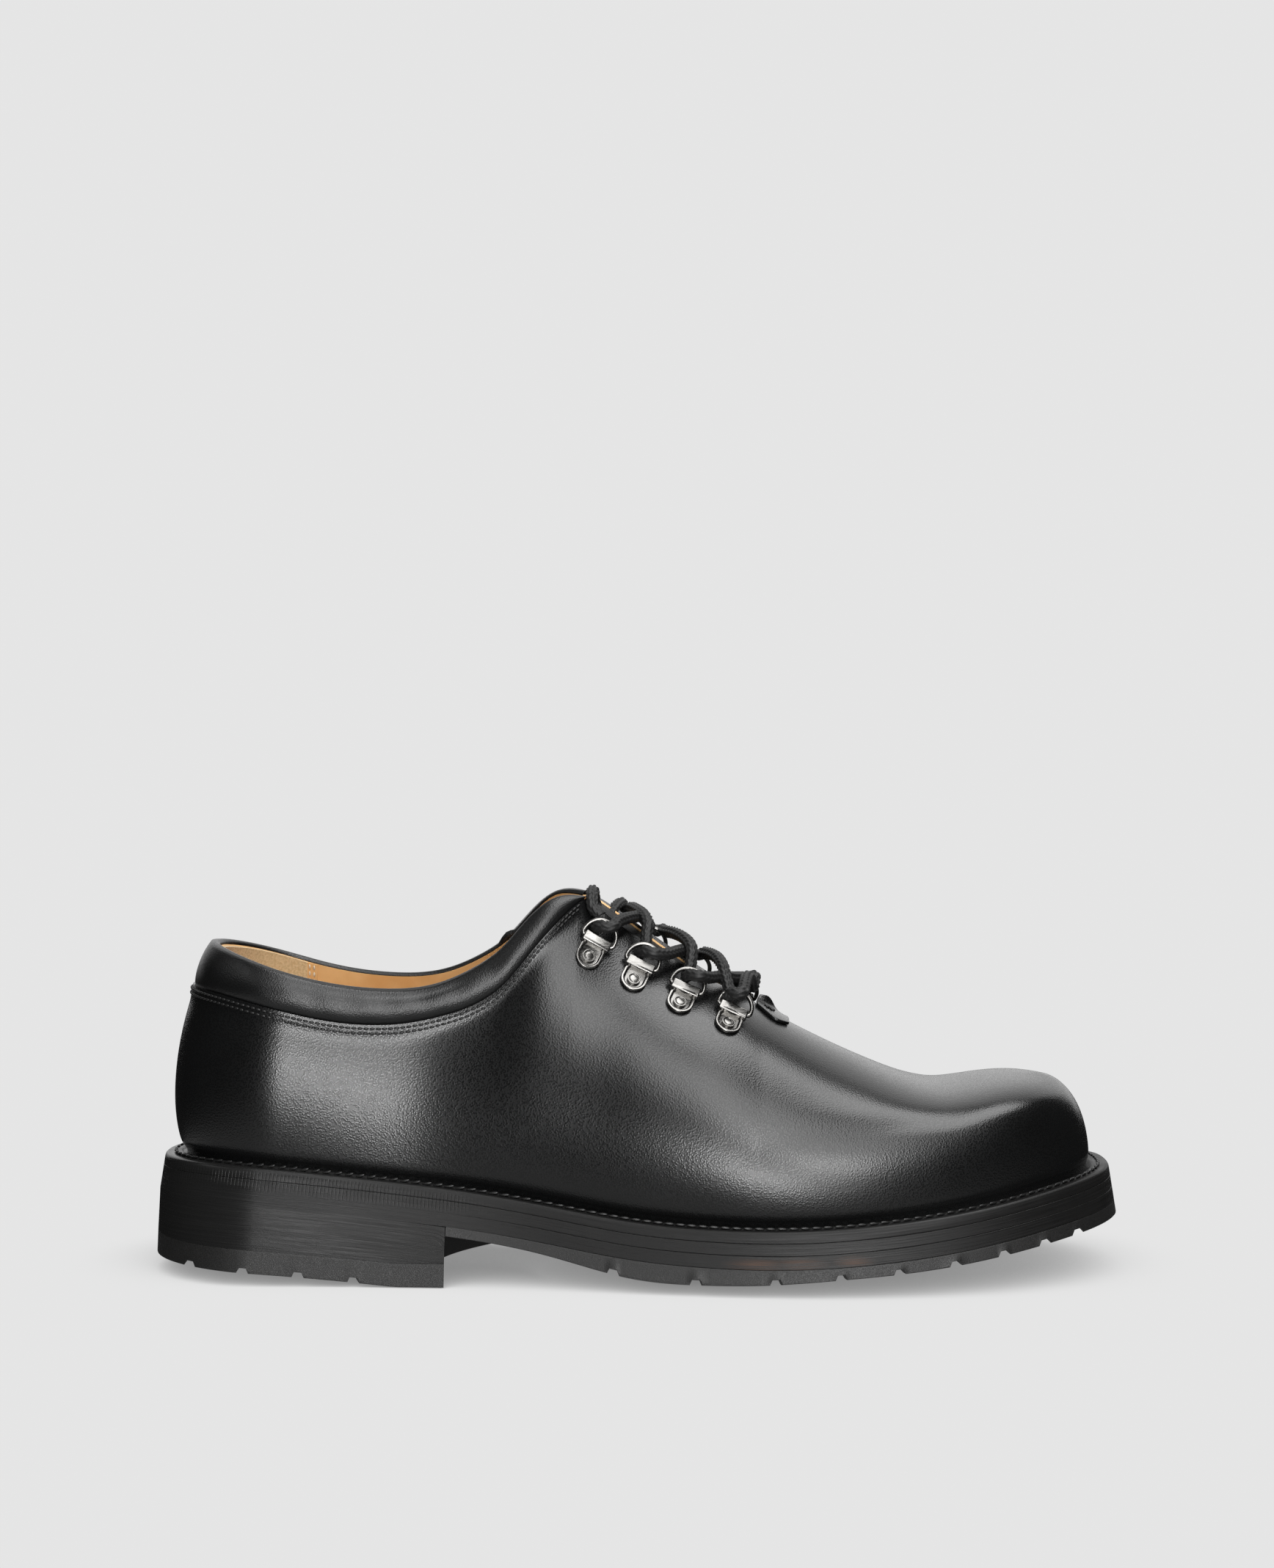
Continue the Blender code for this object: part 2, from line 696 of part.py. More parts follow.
def make_heel(leather, rubber):
    """Stacked leather heel and its rubber top lift, grooved underneath."""
    seat_grow = TREAD_TOP * EDGE_FLARE
    lift_grow = seat_grow + LIFT_TOP_FLARE
    plain = [x for x in sole_stations(*WELT_STEPS) if x < BREAST_LATERAL - BREAST_CLEAR]
    grooves = groove_stations(HEEL_GROOVES)
    clear = [x for x in plain if min(abs(x - g) for g in grooves) > GROOVE_WIDTH]
    heel_piece(
        "heel_stack",
        plain + [BREAST_LATERAL],
        lambda place, x: BED.at("edge_z", place) - TREAD_TOP - BED.at("crown", place),
        lambda place, x: heel_floor_z(place) + TOP_LIFT_THICKNESS + GAP,
        seat_grow,
        lift_grow,
        leather,
    )
    heel_piece(
        "heel_top_lift",
        sorted(clear + grooves + [BREAST_LATERAL]),
        lambda place, x: heel_floor_z(place) + TOP_LIFT_THICKNESS,
        lambda place, x: heel_floor_z(place) + groove_depth(x, HEEL_GROOVES),
        lift_grow,
        seat_grow + LIFT_FLARE,
        rubber,
    )


# Pieces of the upper


def make_upper(material):
    """Wholecut upper: one hollow wall, open at the collar and throat and underneath."""
    bm = bmesh.new()
    stations = collar_stations() + vamp_stations()
    shares = [i / SECTION_STEPS for i in range(SECTION_STEPS + 1)]
    for side in (LATERAL, MEDIAL):
        grid = [[bm.verts.new(skin(side, *station, t)) for t in shares] for station in stations]
        for column, following in zip(grid, grid[1:]):
            for j in range(SECTION_STEPS):
                face = (column[j], following[j], following[j + 1], column[j + 1])
                bm.faces.new(face if side == LATERAL else reversed(face))
    obj = new_object("upper", mesh_from("upper", bm), material)
    wall = obj.modifiers.new("Wall", "SOLIDIFY")
    wall.thickness = WALL * METRES
    wall.offset = -1
    wall.use_even_offset = True
    return obj


def collar_section(side, foot_x, top_x):
    """One ring of the padded collar: down the upper's face and back over the padding."""
    width, puff = COLLAR.at("width", top_x), COLLAR.at("puff", top_x)
    seam = below_top(side, foot_x, top_x, width)
    shares = np.linspace(0, 1, COLLAR_STEPS + 1)
    inner = [skin(side, foot_x, top_x, 1 + (seam - 1) * s, COLLAR_GAP) for s in shares]
    outer = []
    for s in reversed(shares):
        bulge = math.sin(math.pi * (PADDING_FROM + PADDING_SPAN * s)) ** PADDING_POWER
        padding = COLLAR_EDGE + (puff - COLLAR_EDGE) * bulge
        outer.append(skin(side, foot_x, top_x, 1 + (seam - 1) * s, COLLAR_GAP + padding))
    return inner + outer


def make_collar(material):
    """Padded collar: a soft roll round the outside of the rim, from throat to throat."""
    end = (FOOT_AT_THROAT_TOP - COLLAR_END, THROAT_TOP - COLLAR_END)
    stations = collar_stations()[:-1] + [end]
    sections = [collar_section(LATERAL, *station) for station in reversed(stations)]
    sections += [collar_section(MEDIAL, *station) for station in stations[1:]]
    return loft("padded_collar", sections, material)


def make_tongue(material):
    """Tongue: a thin sheet under both edges of the throat."""
    sections = []
    for x in np.linspace(THROAT_TOP + TONGUE_START, THROAT_END - TONGUE_STOP, TONGUE_SECTIONS):
        rows = []
        for depth in (WALL + TONGUE_CLEARANCE, WALL + TONGUE_CLEARANCE + TONGUE_THICKNESS):
            wings = {}
            for side in (LATERAL, MEDIAL):
                foot = throat_foot(x)
                shares = [below_top(side, foot, x, TONGUE_WING * w) for w in (1, 0.5, 0)]
                wings[side] = [skin(side, foot, x, t, -depth) for t in shares]
            middle = (wings[LATERAL][-1] + wings[MEDIAL][-1]) / 2 + TONGUE_CROWN * UP
            rows.append(wings[LATERAL] + [middle] + list(reversed(wings[MEDIAL])))
        sections.append(plate_section(*rows))
    return loft("tongue", sections, material)


def make_tab(material):
    """Small leather tab that closes the end of the throat."""
    sections = []
    for x in TAB.key:
        half, lift = TAB.at("half_width", x), TAB.at("lift", x)
        foot = throat_foot(x) if x < THROAT_END else x
        rows = []
        for height in (GAP + TAB_THICKNESS, GAP):
            row = []
            for side, share in ((LATERAL, 1), (LATERAL, 0.5), (MEDIAL, 0.5), (MEDIAL, 1)):
                t = below_top(side, foot, x, half * share)
                row.append(skin(side, foot, x, t, height + lift * share))
            rows.append(row)
        sections.append(plate_section(*rows))
    return loft("throat_tab", sections, material)


# Lace rings


def facing_place(side, top_x, distance):
    """Foot station, top station and t of a place beside the throat, at a distance from its edge."""
    foot = throat_foot(top_x)
    return foot, top_x, below_top(side, foot, top_x, distance)


def ring_frame(side, number):
    """Matrix of a lace ring: x along the throat, y towards its edge and z off the upper."""
    top_x, distance = RING_PLACES[side][number - 1]
    here = facing_place(side, top_x, distance)
    place = skin(side, *here)
    normal = skin_normal(side, *here)
    along = np.array((math.cos(RING_SLOPE), 0.0, -math.sin(RING_SLOPE)))
    along = unit(along - normal * (along @ normal))
    across = np.cross(normal, along)
    matrix = Matrix(np.column_stack((along, across, normal)).tolist()).to_4x4()
    matrix.translation = (Vector(place) - Vector(shoe_origin())) * METRES
    return matrix


def ring_sense(side):
    """Which way the local y axis runs: towards the throat's edge on both sides."""
    return 1 if side == LATERAL else -1


def local_mesh(obj):
    """The evaluated mesh of a helper object, with the helper removed."""
    bpy.context.view_layer.update()
    mesh = bpy.data.meshes.new_from_object(obj.evaluated_get(bpy.context.evaluated_depsgraph_get()))
    mesh.transform(obj.matrix_world)
    bpy.data.objects.remove(obj)
    bm = bmesh.new()
    bm.from_mesh(mesh)
    bmesh.ops.remove_doubles(bm, verts=bm.verts, dist=1e-7)
    bmesh.ops.recalc_face_normals(bm, faces=bm.faces)
    bm.to_mesh(mesh)
    bm.free()
    return mesh


def helper(name, data):
    """A guide or cutter object, which is not a node."""
    obj = bpy.data.objects.new(name, data)
    obj.hide_render = True
    obj.display_type = "WIRE"
    cutters.objects.link(obj)
    return obj


def joined(name, first, *others):
    """One closed mesh of several overlapping ones."""
    base = helper(name, first)
    operands = [helper(name + "_operand", mesh) for mesh in others]
    for operand in operands:
        union = base.modifiers.new("Union", "BOOLEAN")
        union.operation = "UNION"
        union.object = operand
    mesh = local_mesh(base)
    for operand in operands:
        bpy.data.objects.remove(operand)
    return mesh


def plate_mesh(sense):
    """Steel plate of a lace ring: a rounded tongue with its rivet and a rolled barrel."""
    outline = bpy.data.curves.new("plate", "CURVE")
    outline.dimensions = "2D"
    outline.fill_mode = "BOTH"
    outline.extrude = PLATE_THICKNESS / 2 * METRES
    turns = np.linspace(math.pi, 2 * math.pi, 9)
    points = [(PLATE_HALF_WIDTH * math.cos(a), PLATE_HALF_WIDTH * math.sin(a)) for a in turns]
    points += [(PLATE_HALF_WIDTH, PLATE_LENGTH), (-PLATE_HALF_WIDTH, PLATE_LENGTH)]
    spline = outline.splines.new("POLY")
    spline.points.add(len(points) - 1)
    for point, (x, y) in zip(spline.points, points):
        point.co = (x * METRES, sense * y * METRES, 0, 1)
    spline.use_cyclic_u = True
    sheet = helper("plate", outline)
    sheet.location.z = (GAP + PLATE_THICKNESS / 2) * METRES

    rivet_profile = (
        (0.0, RIVET_HEIGHT),
        (RIVET_RADIUS - RIVET_ROUND, RIVET_HEIGHT),
        (RIVET_RADIUS, RIVET_HEIGHT - RIVET_ROUND),
        (RIVET_RADIUS, 0.0),
        (0.0, 0.0),
    )
    rivet = turned_mesh(rivet_profile)
    rivet.transform(Matrix.Translation((0, 0, (GAP + PLATE_THICKNESS / 2) * METRES)))
    half = BARREL_LENGTH / 2
    barrel_profile = (
        (BARREL_BORE, half),
        (BARREL_RADIUS, half),
        (BARREL_RADIUS, -half),
        (BARREL_BORE, -half),
    )
    barrel = turned_mesh(barrel_profile, closed=True)
    barrel.transform(Matrix.Rotation(math.pi / 2, 4, "Y"))
    barrel.transform(Matrix.Translation(barrel_axis(sense)))
    return joined("ring_plate", local_mesh(sheet), rivet, barrel)


def barrel_axis(sense):
    """Middle of the rolled barrel, in the ring's own frame."""
    return Vector((0, sense * PLATE_LENGTH, GAP + BARREL_RADIUS)) * METRES


def turned_mesh(profile, closed=False):
    """A profile of radius and height turned about z."""
    mesh = bpy.data.meshes.new("profile")
    edges = [(i, i + 1) for i in range(len(profile) - 1)]
    if closed:
        edges.append((len(profile) - 1, 0))
    mesh.from_pydata([(r * METRES, 0, z * METRES) for r, z in profile], edges, [])
    obj = helper("profile", mesh)
    turn = obj.modifiers.new("Turn", "SCREW")
    turn.steps = turn.render_steps = TURN_STEPS
    turn.use_merge_vertices = True
    turn.merge_threshold = 1e-6
    return local_mesh(obj)


def tube_mesh(points, radius, roundness, cyclic=False):
    """A round wire or cord through points, in metres."""
    curve = bpy.data.curves.new("tube", "CURVE")
    curve.dimensions = "3D"
    curve.bevel_depth = radius * METRES
    curve.bevel_resolution = roundness
    curve.use_fill_caps = not cyclic
    spline = curve.splines.new("POLY")
    spline.points.add(len(points) - 1)
    for point, place in zip(spline.points, points):
        point.co = (*place, 1)
    spline.use_cyclic_u = cyclic
    return local_mesh(helper("tube", curve))


def wire_mesh(sense, tilt):
    """D-shaped wire ring whose straight leg turns in the barrel."""
    corner = RING_CORNER
    straight = RING_HALF_WIDTH - corner
    rise = RING_HEIGHT - corner
    points = [(-straight, 0.0), (straight, 0.0)]
    for angle in np.linspace(-math.pi / 2, 0, 3)[1:]:
        points.append((straight + corner * math.cos(angle), corner + corner * math.sin(angle)))
    for angle in np.linspace(0, math.pi, 9)[1:-1]:
        points.append((RING_HALF_WIDTH * math.cos(angle), corner + rise * math.sin(angle)))
    for angle in np.linspace(math.pi, 1.5 * math.pi, 3)[:-1]:
        points.append((-straight + corner * math.cos(angle), corner + corner * math.sin(angle)))
    places = []
    for x, y in points:
        lifted = Vector((x, sense * y * math.cos(tilt), y * math.sin(tilt))) * METRES
        places.append(lifted + barrel_axis(sense))
    return tube_mesh(places, WIRE_RADIUS, 1, cyclic=True)


def make_rings(steel):
    """Four lace rings on each side of the throat, each a riveted plate and a wire ring."""
    for side, side_name in ((LATERAL, "lateral"), (MEDIAL, "medial")):
        sense = ring_sense(side)
        plate_shape, wire_shape = plate_mesh(sense), wire_mesh(sense, RING_TILT[side])
        for shape in (plate_shape, wire_shape):
            shape.shade_smooth()
            shape.set_sharp_from_angle(angle=SMOOTH_ANGLE)
            shape.materials.append(steel)
        for number in range(1, len(RING_PLACES[side]) + 1):
            for kind, shape in (("plate", plate_shape), ("ring", wire_shape)):
                obj = bpy.data.objects.new(f"lace_{kind}_{side_name}_{number}", shape)
                parts.objects.link(obj)
                obj.matrix_world = ring_frame(side, number)


# Lace


def lace_end(side, number, over):
    """Where a strand meets a ring, counted from the top: over its wire or up from under it."""
    tilt = RING_TILT[side]
    round_share = math.sqrt(1 - (LACE_SPREAD / RING_HALF_WIDTH) ** 2)
    beside_top = RING_CORNER + (RING_HEIGHT - RING_CORNER) * round_share
    reach = RING_HEIGHT if over else beside_top + WIRE_RADIUS + LACE_UNDER
    lift = WIRE_RADIUS + LACE_RADIUS + LACE_OVER if over else 0.0
    x = LACE_SPREAD if over else -LACE_SPREAD
    y = PLATE_LENGTH + reach * math.cos(tilt)
    z = GAP + BARREL_RADIUS + reach * math.sin(tilt) + lift
    return ring_frame(side, number) @ (Vector((x, ring_sense(side) * y, z)) * METRES)


def lace_strand(start, end, arch):
    """A cord between two places that arches over the throat."""
    lift = Vector((0, 0, arch * METRES))
    near, far = start.lerp(end, LACE_HANDLE) + lift, start.lerp(end, 1 - LACE_HANDLE) + lift
    handles = [np.array(place) for place in (start, near, far, end)]
    points = [curve_point(handles, i / LACE_STEPS) for i in range(LACE_STEPS + 1)]
    return tube_mesh(points, LACE_RADIUS, 2)


def make_lace(material):
    """Lace: a bar at each end of the throat and three crossings between the rings."""
    count = len(RING_PLACES[LATERAL])
    top_ends = [lace_end(side, 1, False) for side in (LATERAL, MEDIAL)]
    toe_ends = [lace_end(side, count, True) for side in (LATERAL, MEDIAL)]
    meshes = {
        "lace_bar_top": lace_strand(*top_ends, TOP_ARCH),
        "lace_bar_toe": lace_strand(*toe_ends, TOE_ARCH),
    }
    for number in range(1, count):
        strands = []
        for side, other in ((LATERAL, MEDIAL), (MEDIAL, LATERAL)):
            start, end = lace_end(side, number, True), lace_end(other, number + 1, False)
            strands.append(lace_strand(start, end, CROSSING_ARCH))
        meshes[f"lace_crossing_{number}"] = joined("crossing", *strands)
    for name, mesh in meshes.items():
        mesh.shade_smooth()
        new_object(name, mesh, material)


# Materials and assembly


def make_material(name, colour, roughness, metallic=0.0):
    """A plain surface with the finish's colour, roughness and metal."""
    material = bpy.data.materials.new(name)
    material.use_nodes = True
    shader = material.node_tree.nodes["Principled BSDF"]
    shader.inputs["Base Color"].default_value = (*colour, 1)
    shader.inputs["Roughness"].default_value = roughness
    shader.inputs["Metallic"].default_value = metallic
    return material


def new_collection(name):
    """A collection of the scene."""
    collection = bpy.data.collections.new(name)
    bpy.context.scene.collection.children.link(collection)
    return collection


for old in list(bpy.data.objects):
    bpy.data.objects.remove(old)
parts = new_collection("haferl_shoe")
cutters = new_collection("cutters")

calf = make_material("black_calf", (0.012, 0.012, 0.013), 0.35)
lining = make_material("tan_lining", (0.52, 0.30, 0.13), 0.6)
edge_leather = make_material("black_edge_leather", (0.016, 0.015, 0.015), 0.45)
rubber = make_material("black_rubber", (0.02, 0.02, 0.021), 0.6)
nickel = make_material("nickel_steel", (0.62, 0.61, 0.59), 0.22, 1.0)
cord = make_material("black_cord", (0.015, 0.015, 0.016), 0.8)

make_upper(calf)
make_collar(calf)
make_tongue(calf)
make_tab(calf)
make_insole(lining)
make_welt(edge_leather)
make_midsole(edge_leather)
make_outsole(edge_leather)
make_tread(rubber)
make_heel(edge_leather, rubber)
make_rings(nickel)
make_lace(cord)
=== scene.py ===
"""Looks of a black wholecut haferl shoe for the right foot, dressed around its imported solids.

Lengths are in millimetres until a mesh is laid. The shoe is drawn with x from the heel to the toe,
y from the outer (lateral) to the inner (medial) side and z up from the floor.
"""

import logging
import math
from dataclasses import dataclass
from enum import Enum, IntEnum
from typing import Callable, Iterable, Sequence

import bpy
import numpy as np
from mathutils import Matrix, Vector

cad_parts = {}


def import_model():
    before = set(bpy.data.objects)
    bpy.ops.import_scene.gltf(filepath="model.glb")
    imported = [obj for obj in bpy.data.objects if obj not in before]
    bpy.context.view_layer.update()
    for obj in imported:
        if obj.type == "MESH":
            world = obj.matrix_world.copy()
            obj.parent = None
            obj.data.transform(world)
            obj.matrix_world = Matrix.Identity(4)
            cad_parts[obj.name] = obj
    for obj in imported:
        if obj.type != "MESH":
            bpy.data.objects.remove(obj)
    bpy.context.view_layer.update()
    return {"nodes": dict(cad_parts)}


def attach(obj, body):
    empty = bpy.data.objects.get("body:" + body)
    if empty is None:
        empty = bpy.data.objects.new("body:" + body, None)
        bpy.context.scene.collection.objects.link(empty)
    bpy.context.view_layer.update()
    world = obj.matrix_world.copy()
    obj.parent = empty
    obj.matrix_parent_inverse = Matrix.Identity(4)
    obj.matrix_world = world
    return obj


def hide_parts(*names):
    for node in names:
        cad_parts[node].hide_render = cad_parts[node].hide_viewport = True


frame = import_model()

log = logging.getLogger("haferl_shoe")

METRES = 0.001
FLOOR_POINT = np.array((153.25, -0.948, 0.0))

Array = np.ndarray
Colour = tuple[float, float, float, float]
Piece = bpy.types.Object
Material = bpy.types.Material
Socket = bpy.types.NodeSocket


class Side(IntEnum):
    """The two sides of the shoe, as the sign of y."""

    LATERAL = -1
    MEDIAL = 1


class Slot(str, Enum):
    """Material slots of the record."""

    CALF = "black_calf"
    LINING = "tan_lining"
    EDGE = "edge_leather"
    RUBBER = "black_rubber"
    NICKEL = "nickel"
    CORD = "lace_cord"


class Table:
    """Rows of named columns, read as natural cubic curves over the first column."""

    def __init__(self, columns: str, *rows: Sequence[float]) -> None:
        """Keeps the rows and works out how each column bends.

        Args:
            columns: Names of the columns, parted by spaces.
            rows: One row of numbers for each place, in order of the first column.
        """
        values = np.array(rows, float)
        self.key = values[:, 0]
        self.columns = dict(zip(columns.split(), values.T))
        self.bends = {name: self._bends(column) for name, column in self.columns.items()}

    def _bends(self, column: Array) -> Array:
        """Second derivatives of the natural cubic through a column."""
        steps = np.diff(self.key)
        matrix = np.eye(len(self.key))
        right = np.zeros(len(self.key))
        for i in range(1, len(self.key) - 1):
            before, after = steps[i - 1], steps[i]
            matrix[i, i - 1 : i + 2] = before, 2 * (before + after), after
            rise_after = (column[i + 1] - column[i]) / after
            rise_before = (column[i] - column[i - 1]) / before
            right[i] = 6 * (rise_after - rise_before)
        return np.linalg.solve(matrix, right)

    def at(self, name: str, x: Array | float) -> Array:
        """Values of a column, held at its end values beyond the table.

        Args:
            name: The column.
            x: Places in the first column.

        Returns:
            The column's values at those places.
        """
        x = np.clip(x, self.key[0], self.key[-1])
        i = np.clip(np.searchsorted(self.key, x) - 1, 0, len(self.key) - 2)
        step = self.key[i + 1] - self.key[i]
        a = (self.key[i + 1] - x) / step
        b = 1 - a
        values, bends = self.columns[name], self.bends[name]
        bend = (a**3 - a) * bends[i] + (b**3 - b) * bends[i + 1]
        return a * values[i] + b * values[i + 1] + bend * step**2 / 6


# Half the width of the sole and how far its middle swings to the inner side
OUTLINE = Table(
    "x half_width swing",
    (0, 33.0, 0.0),
    (40, 34.0, -0.3),
    (80, 33.5, -1.8),
    (110, 33.6, -4.2),
    (140, 37.6, -5.7),
    (170, 44.4, -4.7),
    (195, 49.8, -3.0),
    (215, 52.2, -1.5),
    (235, 52.0, -0.2),
    (260, 49.0, 1.2),
    (285, 45.7, 2.5),
    (305, 42.0, 3.0),
)

# Height of the welt's top edge, how far the middle of the sole hangs below it, and the thickness
BED = Table(
    "x edge_z crown stack",
    (2, 36.8, 0.0, 14.3),
    (14, 37.2, 0.0, 14.3),
    (28, 36.8, 0.0, 14.3),
    (50, 34.9, 0.0, 14.3),
    (75, 32.3, 0.0, 14.3),
    (100, 29.4, 0.4, 14.3),
    (125, 25.7, 1.8, 14.9),
    (150, 21.8, 3.6, 16.7),
    (175, 20.0, 4.3, 16.3),
    (195, 19.8, 4.3, 15.6),
    (215, 20.7, 3.8, 15.0),
    (240, 23.1, 3.0, 15.1),
    (265, 26.9, 1.9, 15.3),
    (285, 30.6, 0.8, 15.5),
    (304.5, 33.6, 0.0, 15.6),
)

# Collar rim: height, half the opening and its middle
RIM = Table(
    "x z half_open centre",
    (19, 104.2, 24.0, 0.0),
    (30, 101.0, 26.5, 0.0),
    (45, 96.4, 27.0, -0.2),
    (60, 93.0, 26.6, -0.2),
    (75, 91.6, 25.8, -0.2),
    (90, 93.0, 24.8, 0.0),
    (102, 98.0, 23.4, 0.0),
    (112, 105.2, 21.4, -0.3),
    (121, 115.0, 18.4, -1.0),
    (127, 119.4, 15.8, -1.7),
    (132, 120.3, 13.4, -2.4),
    (137, 119.8, 11.0, -3.0),
)

# The two edges of the throat
THROAT = Table(
    "x lateral_y lateral_z medial_y medial_z",
    (137, -14.0, 119.8, 8.0, 119.8),
    (144, -12.0, 113.2, 5.6, 115.8),
    (153, -10.2, 106.6, 3.8, 109.6),
    (165, -8.2, 98.8, 2.6, 101.2),
    (176, -5.9, 92.6, 1.9, 94.0),
    (185, -3.4, 87.7, 0.8, 88.4),
    (190, -1.8, 84.9, -0.4, 85.0),
    (193, -1.0, 83.1, -1.0, 83.1),
)

# Ridge of the vamp, from the end of the throat over the dip behind the toe to the crown
RIDGE = Table(
    "x y z",
    (193, -1.0, 83.1),
    (201, -0.4, 78.6),
    (209, 0.2, 74.4),
    (218, 0.8, 70.0),
    (227, 1.3, 65.9),
    (236, 1.8, 62.1),
    (244, 2.1, 59.5),
    (250, 2.3, 58.5),
    (258, 2.5, 59.1),
    (267, 2.6, 60.4),
    (275, 2.6, 61.1),
    (281, 2.7, 61.3),
)

# Where on the top edge the section ends that starts at a station of the welt
TOP_OF_FOOT = Table(
    "foot top",
    (2, 19.0),
    (14, 28.2),
    (36, 45.6),
    (60, 68.4),
    (95, 102.1),
    (131, 137.0),
    (162, 165.0),
    (193, 193.0),
    (218, 218.0),
    (242.5, 241.8),
    (262, 257.6),
    (280, 269.6),
    (294, 276.8),
    (304.5, 281.0),
)

# Handles of each section's curve: out over the welt and up, then level from the top edge and down
SECTION_COLUMNS = "foot out rise reach fullness drop"
HEEL_SECTIONS = ((2, 7.5, 17.0, 11.0, 0.0, 15.0), (36, 4.6, 18.0, 6.5, 0.0, 20.0))
TOE_SECTIONS = (
    (265, 2.2, 28.0, 0.0, 1.04, 0.0),
    (285, 1.2, 26.5, 0.0, 1.02, 0.0),
    (304.5, 0.0, 16.0, 0.0, 0.66, 0.0),
)
SECTIONS = {
    Side.LATERAL: Table(
        SECTION_COLUMNS,
        *HEEL_SECTIONS,
        (62, 4.6, 19.0, 7.0, 0.0, 22.0),
        (90, 5.4, 21.0, 9.0, 0.0, 26.0),
        (112, 6.4, 24.0, 12.0, 0.0, 28.0),
        (131, 6.6, 27.0, 17.0, 0.0, 23.0),
        (150, 6.0, 27.0, 13.0, 0.38, 14.0),
        (172, 5.0, 26.0, 4.0, 0.72, 6.0),
        (193, 4.2, 25.0, 0.0, 0.74, 0.0),
        (218, 3.4, 24.0, 0.0, 0.80, 0.0),
        (242, 2.8, 27.0, 0.0, 0.94, 0.0),
        *TOE_SECTIONS,
    ),
    Side.MEDIAL: Table(
        SECTION_COLUMNS,
        *HEEL_SECTIONS,
        (62, 5.0, 20.0, 7.0, 0.0, 22.0),
        (90, 7.4, 24.0, 9.0, 0.0, 26.0),
        (112, 9.4, 28.0, 13.0, 0.0, 28.0),
        (131, 9.4, 30.0, 18.0, 0.0, 20.0),
        (150, 8.0, 29.0, 13.0, 0.42, 9.0),
        (172, 6.0, 27.0, 4.0, 0.74, 3.0),
        (193, 4.4, 25.0, 0.0, 0.78, 0.0),
        (218, 3.4, 24.0, 0.0, 0.82, 0.0),
        (242, 2.8, 27.0, 0.0, 0.95, 0.0),
        *TOE_SECTIONS,
    ),
}

# How far each side is hollowed behind the ankle and swells over the joint of the foot
SWELL = Table(
    "foot lateral medial",
    (2, 0.0, 0.0),
    (22, -0.5, 0.0),
    (44, -1.0, -0.2),
    (64, -2.3, -0.6),
    (80, -2.7, -0.5),
    (95, -1.1, 0.2),
    (112, 1.3, 0.8),
    (131, 2.9, 1.0),
    (150, 3.6, 0.9),
    (170, 4.1, 0.7),
    (190, 4.2, 0.4),
    (210, 3.2, 0.2),
    (230, 1.5, 0.0),
    (246, 0.4, 0.0),
    (262, 0.0, 0.0),
)

# Padded collar: how far it reaches down from the rim and how far it puffs out
COLLAR = Table(
    "x width puff",
    (19, 15.6, 1.9),
    (25, 14.2, 2.1),
    (33, 13.1, 2.5),
    (45, 12.5, 2.9),
    (60, 12.1, 3.1),
    (78, 11.4, 3.1),
    (92, 11.2, 3.1),
    (101, 12.5, 3.1),
    (110, 13.8, 3.0),
    (119, 14.6, 2.9),
    (124, 13.4, 2.7),
    (129, 10.0, 2.4),
    (133, 5.6, 1.9),
    (136.6, 1.6, 1.2),
)

# Throat tab: half its width along the ridge, and how far its edges lift off the vamp
TAB = Table(
    "x lateral medial lift",
    (191.4, 5.5, 3.5, 2.0),
    (194.4, 9.5, 4.5, 2.8),
    (197.6, 12.0, 4.5, 0.6),
    (201.6, 9.0, 4.0, 0.1),
)


def unit(vectors: Array) -> Array:
    """The vectors at length one."""
    return vectors / np.linalg.norm(vectors, axis=-1, keepdims=True)


def smooth_step(values: Array | float) -> Array:
    """Zero below 0, one above 1, and level at both."""
    values = np.clip(values, 0.0, 1.0)
    return values * values * (3 - 2 * values)


def bell(values: Array | float, power: int = 2) -> Array:
    """One at 0, falling to nothing on both sides."""
    return np.exp(-(values**power))


def walk(points: Array) -> Array:
    """Distance along a path to each of its points."""
    steps = np.linalg.norm(np.diff(points, axis=0), axis=1)
    return np.concatenate(((0.0,), np.cumsum(steps)))


def resample(points: Array, walked: Array, marks: Array) -> Array:
    """Points of a path at marks along it, given the distance walked to each of its own points."""
    return np.stack([np.interp(marks, walked, points[:, i]) for i in range(3)], -1)


def world(points: Array) -> Array:
    """Points of the shoe, in millimetres, as metres in the frame."""
    return (np.asarray(points, float) - FLOOR_POINT) * METRES


